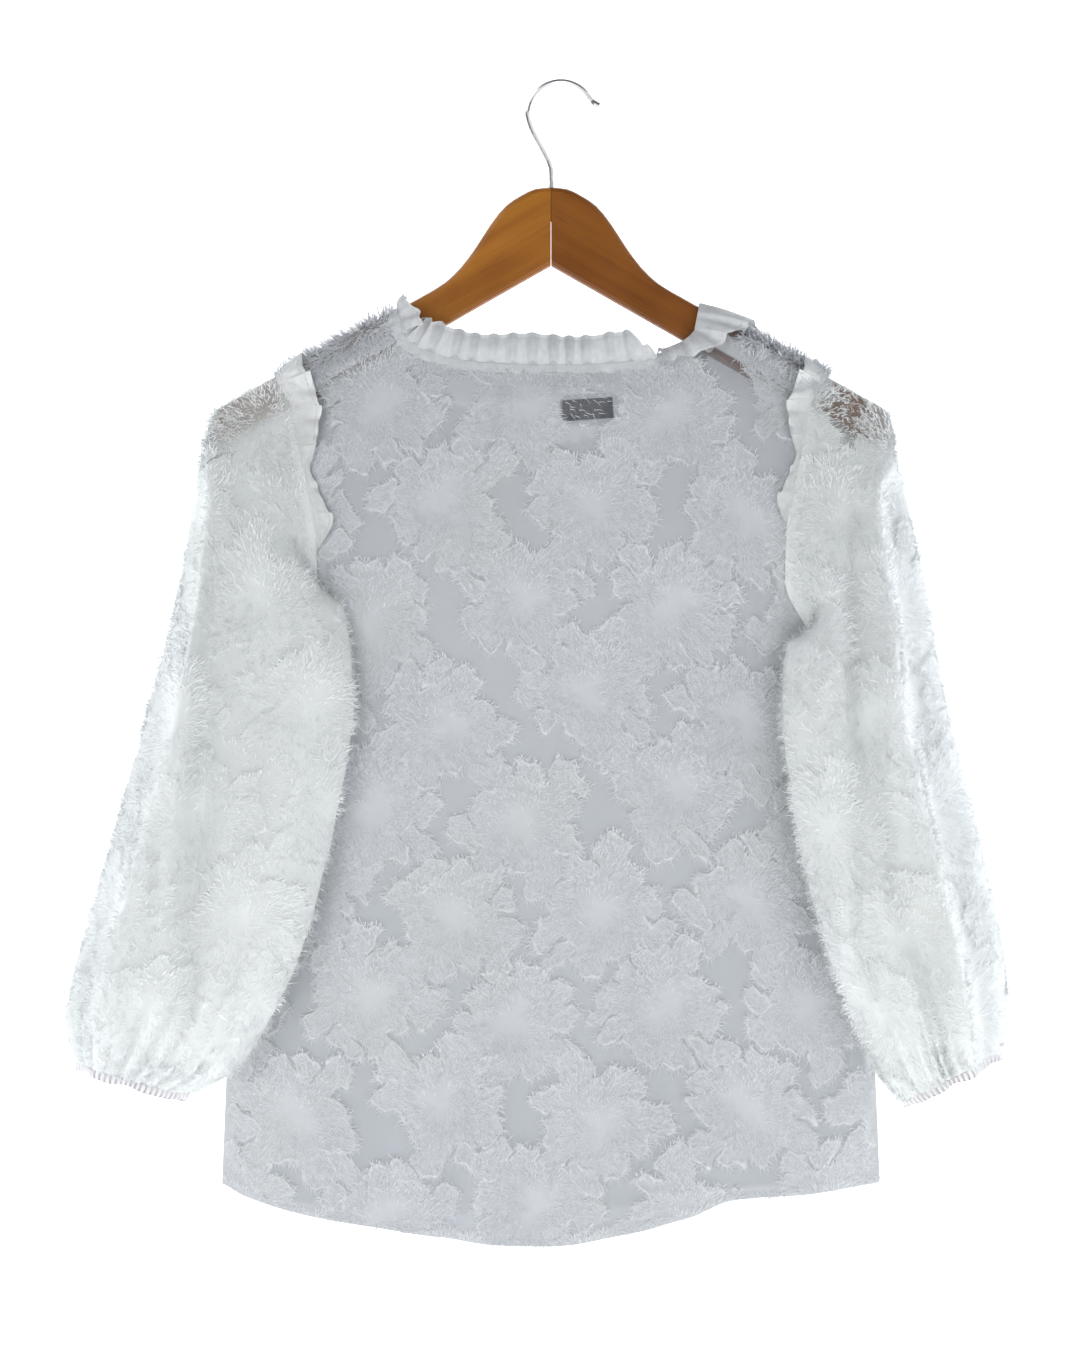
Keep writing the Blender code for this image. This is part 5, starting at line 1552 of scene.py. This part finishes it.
# %% Cuffs
CUFF_HEIGHT, CUFF_WAVES, SHIRRS, CUFF_FULLNESS = 0.0070, 0.34, 54, 1.5
for side in (1, -1):
    ring = sleeve_rings(side, np.array((SLEEVE_END_Z,)))[0] * np.array((side, 1.0, 1.0))
    smooth = np.concatenate((ring[-6:-1], ring, ring[1:6]))
    smooth = np.array([smooth[i:i + 11].mean(axis=0) for i in range(len(ring))])
    middle = ring[:-1].mean(axis=0)
    downward = unit(np.cross(ring[0] - middle, ring[len(ring) // 3] - middle))
    downward = downward if downward[2] < 0 else -downward
    spot, along, _, turn, length = along_path(smooth, smooth - middle, 541, True)
    out = unit(spot - middle)
    shirr = np.sin(turn * math.tau * SHIRRS + 0.6 * np.sin(turn * math.tau * 7))
    waves = np.sin(turn * math.tau * 5 + 0.8) + 0.6 * np.sin(turn * math.tau * 9 + 2.0)
    tall = CUFF_HEIGHT * (1 - CUFF_WAVES * 0.5 * (1 + waves / 1.6))
    rows, valleys = [], []
    for share in np.linspace(0, 1, 9):
        drop = mix(SEAM_GAP + 0.0002, tall, share)[:, None]
        puff = 0.0004 + 0.0006 * math.sin(math.pi * share)
        rows.append(spot + downward * drop + out * (puff + 0.0007 * shirr)[:, None] - out * 0.0012 * share)
        valleys.append(np.clip(0.25 - 0.75 * shirr, 0, 1) * (0.5 + 0.5 * share))
    strip(
        "cuff_band_" + WORD[side], np.array(rows), (length * CUFF_FULLNESS, CUFF_HEIGHT), CUFF_CLOTH, "trim",
        ["cuff_" + WORD[side]], True, np.array(valleys),
    )
    print("cuff", WORD[side], round(length * 1000), "mm round,", SHIRRS, "gathers")

# %% [markdown]
# The woven label is sewn to the inside of the back. It shows as a dark shape through the sheer cloth. It is
# a flat ribbon with its two ends folded under, so its ends are a little thicker.

# %% Label
LABEL_MIDDLE, LABEL_SIZE = (-0.017, -0.2175), (0.048, 0.014)
LABEL_TILT, LABEL_THICK, LABEL_RIB = math.radians(-4.0), 0.0010, 0.0005
LABEL_DARK, LABEL_WORN = (0.05, 0.054, 0.062), (0.13, 0.135, 0.15)
across, upward = np.meshgrid(np.linspace(-0.5, 0.5, 49), np.linspace(-0.5, 0.5, 15))
run, climb = across * LABEL_SIZE[0], upward * LABEL_SIZE[1]
x = LABEL_MIDDLE[0] + run * math.cos(LABEL_TILT) - climb * math.sin(LABEL_TILT)
z = LABEL_MIDDLE[1] + run * math.sin(LABEL_TILT) + climb * math.cos(LABEL_TILT)
ends = soft_step((np.abs(across) - 0.40) / 0.02) * 0.0004
y = body_depth(x, z) - (CLOTH + LABEL_THICK) / 2 - 2 * SEAM_GAP + ends
ribbon, ribbon_shader = shade("woven_label", (0.075, 0.08, 0.09), 0.45)
tree = ribbon.node_tree
cut = cut_map(tree)
rib = sine_of(tree, parts_of(tree, cut)[1], math.tau / LABEL_RIB)
tint = blend_colours(tree, noise(tree, cut, 700.0, 3.0), (*LABEL_DARK, 1.0), (*LABEL_WORN, 1.0))
tree.links.new(tint, ribbon_shader.inputs["Base Color"])
bumped(tree, ribbon_shader, rib, 0.0001, 0.5)
strip("label_ribbon", np.stack((x, y, z), axis=-1), LABEL_SIZE, ribbon, "label", ["label"], False)
print("label", LABEL_SIZE)

# %% [markdown]
# ## Hanger
# The board is two mitred pieces of varnished pine. The grain runs along each arm, so the same node group is
# turned one way on the left arm and the other way on the right. Grain is noise that is stretched along the
# wood. Broad bands are the growth rings, and fine dark dashes are pores.

# %% Wood
ARM_ANGLE = math.atan(0.5645)
BANDS, PORES, PORE_BROWN = (5.0, 40.0, 95.0), (45.0, 500.0, 900.0), (0.06, 0.02, 0.006)


def grain_group():
    tree, given, out = group_of(
        "wood_grain",
        {"Along": ("Vector", None)},
        {"Bands": "Float", "Pores": "Float", "Blotch": "Float"},
    )
    bands = noise(tree, mapped(tree, given["Along"], Scale=BANDS), 1.0, 3.0, 0.55)
    wire(tree, calc(tree, "MULTIPLY_ADD", bands, 2.6, -0.8, clamp=True), out["Bands"])
    pores = noise(tree, mapped(tree, given["Along"], Scale=PORES), 1.0, 2.0, 0.5)
    wire(tree, calc(tree, "MULTIPLY_ADD", pores, 6.0, -3.7, clamp=True), out["Pores"])
    wire(tree, noise(tree, given["Along"], 22.0, 2.0, 0.5), out["Blotch"])
    return tree


GRAIN = grain_group()


def wood(name, pale, dark, side, shift):
    made, shader = shade(name, pale, 0.38)
    tree = made.node_tree
    where = tree.nodes.new("ShaderNodeTexCoord")
    turn = (0.0, -side * ARM_ANGLE, 0.0)
    turned = mapped(tree, where.outputs["Object"], Location=(shift, 0.0, 0.0), Rotation=turn)
    grain = use_group(tree, GRAIN, Along=turned)
    tint = blend_colours(tree, grain["Bands"], (*dark, 1.0), (*pale, 1.0))
    blotch = calc(tree, "MULTIPLY_ADD", grain["Blotch"], 1.2, -0.45, clamp=True)
    tint = blend_colours(tree, blotch, tint, (*[1.12 * c for c in pale], 1.0))
    pores = calc(tree, "MULTIPLY", grain["Pores"], 0.65)
    tint = blend_colours(tree, pores, tint, (*PORE_BROWN, 1.0))
    tree.links.new(tint, shader.inputs["Base Color"])
    rough = calc(tree, "MULTIPLY_ADD", grain["Blotch"], 0.22, 0.28)
    tree.links.new(rough, shader.inputs["Roughness"])
    shader.inputs["Coat Weight"].default_value = 0.12
    shader.inputs["Specular IOR Level"].default_value = 0.30
    shader.inputs["Coat Roughness"].default_value = 0.22
    relief = calc(tree, "MULTIPLY_ADD", grain["Pores"], -0.6, calc(tree, "MULTIPLY", grain["Bands"], 0.25))
    bumped(tree, shader, relief, 0.0003, 0.6)
    return made


def dress_node(name, material_):
    node = NODES[name]
    node.data.materials.clear()
    node.data.materials.append(material_)
    print(name, "keeps its shape and gets", material_.name)


dress_node("hanger_arm_left", wood("pine_left", (0.37, 0.140, 0.012), (0.23, 0.070, 0.005), 1, 0.0))
dress_node("hanger_arm_right", wood("pine_right", (0.245, 0.080, 0.004), (0.145, 0.038, 0.002), -1, 3.7))

# %% Chrome
chrome, chrome_shader = shade("chromed_wire", (0.52, 0.52, 0.53), 0.16, 1.0)
tree = chrome.node_tree
where = tree.nodes.new("ShaderNodeTexCoord")
smear = noise(tree, where.outputs["Object"], 420.0, 3.0)
tree.links.new(calc(tree, "MULTIPLY_ADD", smear, 0.25, 0.08), chrome_shader.inputs["Roughness"])
dress_node("hook", chrome)

# %% [markdown]
# ## Threads on the cloth
# The threads keep off the seams. They show best where the cloth turns away from the eye, so the sleeves'
# edges, the shoulders, the sleeve heads and the gathers over the cuffs get extra ones.

# %% Threads
def edge_threads(points, normals):
    """Extra weight where the cloth is seen edge on, over the hanger's arms and near the cuffs."""
    facing = np.abs(normals[:, 1]) / np.maximum(np.linalg.norm(normals, axis=1), 1e-9)
    on_arm = 1 - soft_step((ridge(points[:, 0]) - points[:, 2] - 0.020) / 0.020)
    near_cuff = soft_step((-0.630 - points[:, 2]) / 0.020)
    return 0.12 + 0.75 * (1 - soft_step(facing / 0.55)) + 0.22 * on_arm + 0.30 * near_cuff


def neck_and_hem_threads(points, normals):
    """Extra weight along the neck edge, the shoulder seam and the hem."""
    x, z = points[:, 0], points[:, 2]
    neck = np.where(np.abs(x) < NECK_HALF, neck_height(x, *BACK_NECK), ridge(x) - SEAM_DROP)
    hem = read(HEM, "back", x)
    return 0.55 * (neck - z < 0.007) + 0.55 * (z - hem < 0.006)


THREAD_COUNTS = {"back": 54000, "front": 18000, "shoulder": 3400, "sleeve": 43000}
BACK_LIFT, SHOULDER_LIFT, SLEEVE_LIFT = (0.10, 0.50), (0.30, 2.20), (0.20, 1.60)
back_threads = lashes(
    "back_threads", back, THREAD_COUNTS["back"], 31, THREAD_BODY, BACK_LIFT, neck_and_hem_threads, 1.15
)
front_threads = lashes("front_threads", front, THREAD_COUNTS["front"], 32, THREAD_BODY)
shoulder_threads = [
    lashes(
        "shoulder_threads_" + WORD[side], piece, THREAD_COUNTS["shoulder"], 36 + side, THREAD_BODY,
        SHOULDER_LIFT, edge_threads, 1.4,
    )
    for side, piece in zip((1, -1), shoulders)
]
sleeve_threads = {
    side: lashes(
        "sleeve_threads_" + WORD[side], sleeves[side], THREAD_COUNTS["sleeve"], 33 + side, THREAD_SLEEVE,
        SLEEVE_LIFT, edge_threads, 0.92,
    )
    for side in (1, -1)
}
for made in (back_threads, front_threads, *shoulder_threads, *sleeve_threads.values()):
    finished(made, None, "cutwork_cloth")

# %% [markdown]
# ## The sleeves' areas
# The area of each sleeve is printed.

# %% Sheets
for side in (1, -1):
    print("sleeve area", round(sleeves[side].area, 4))
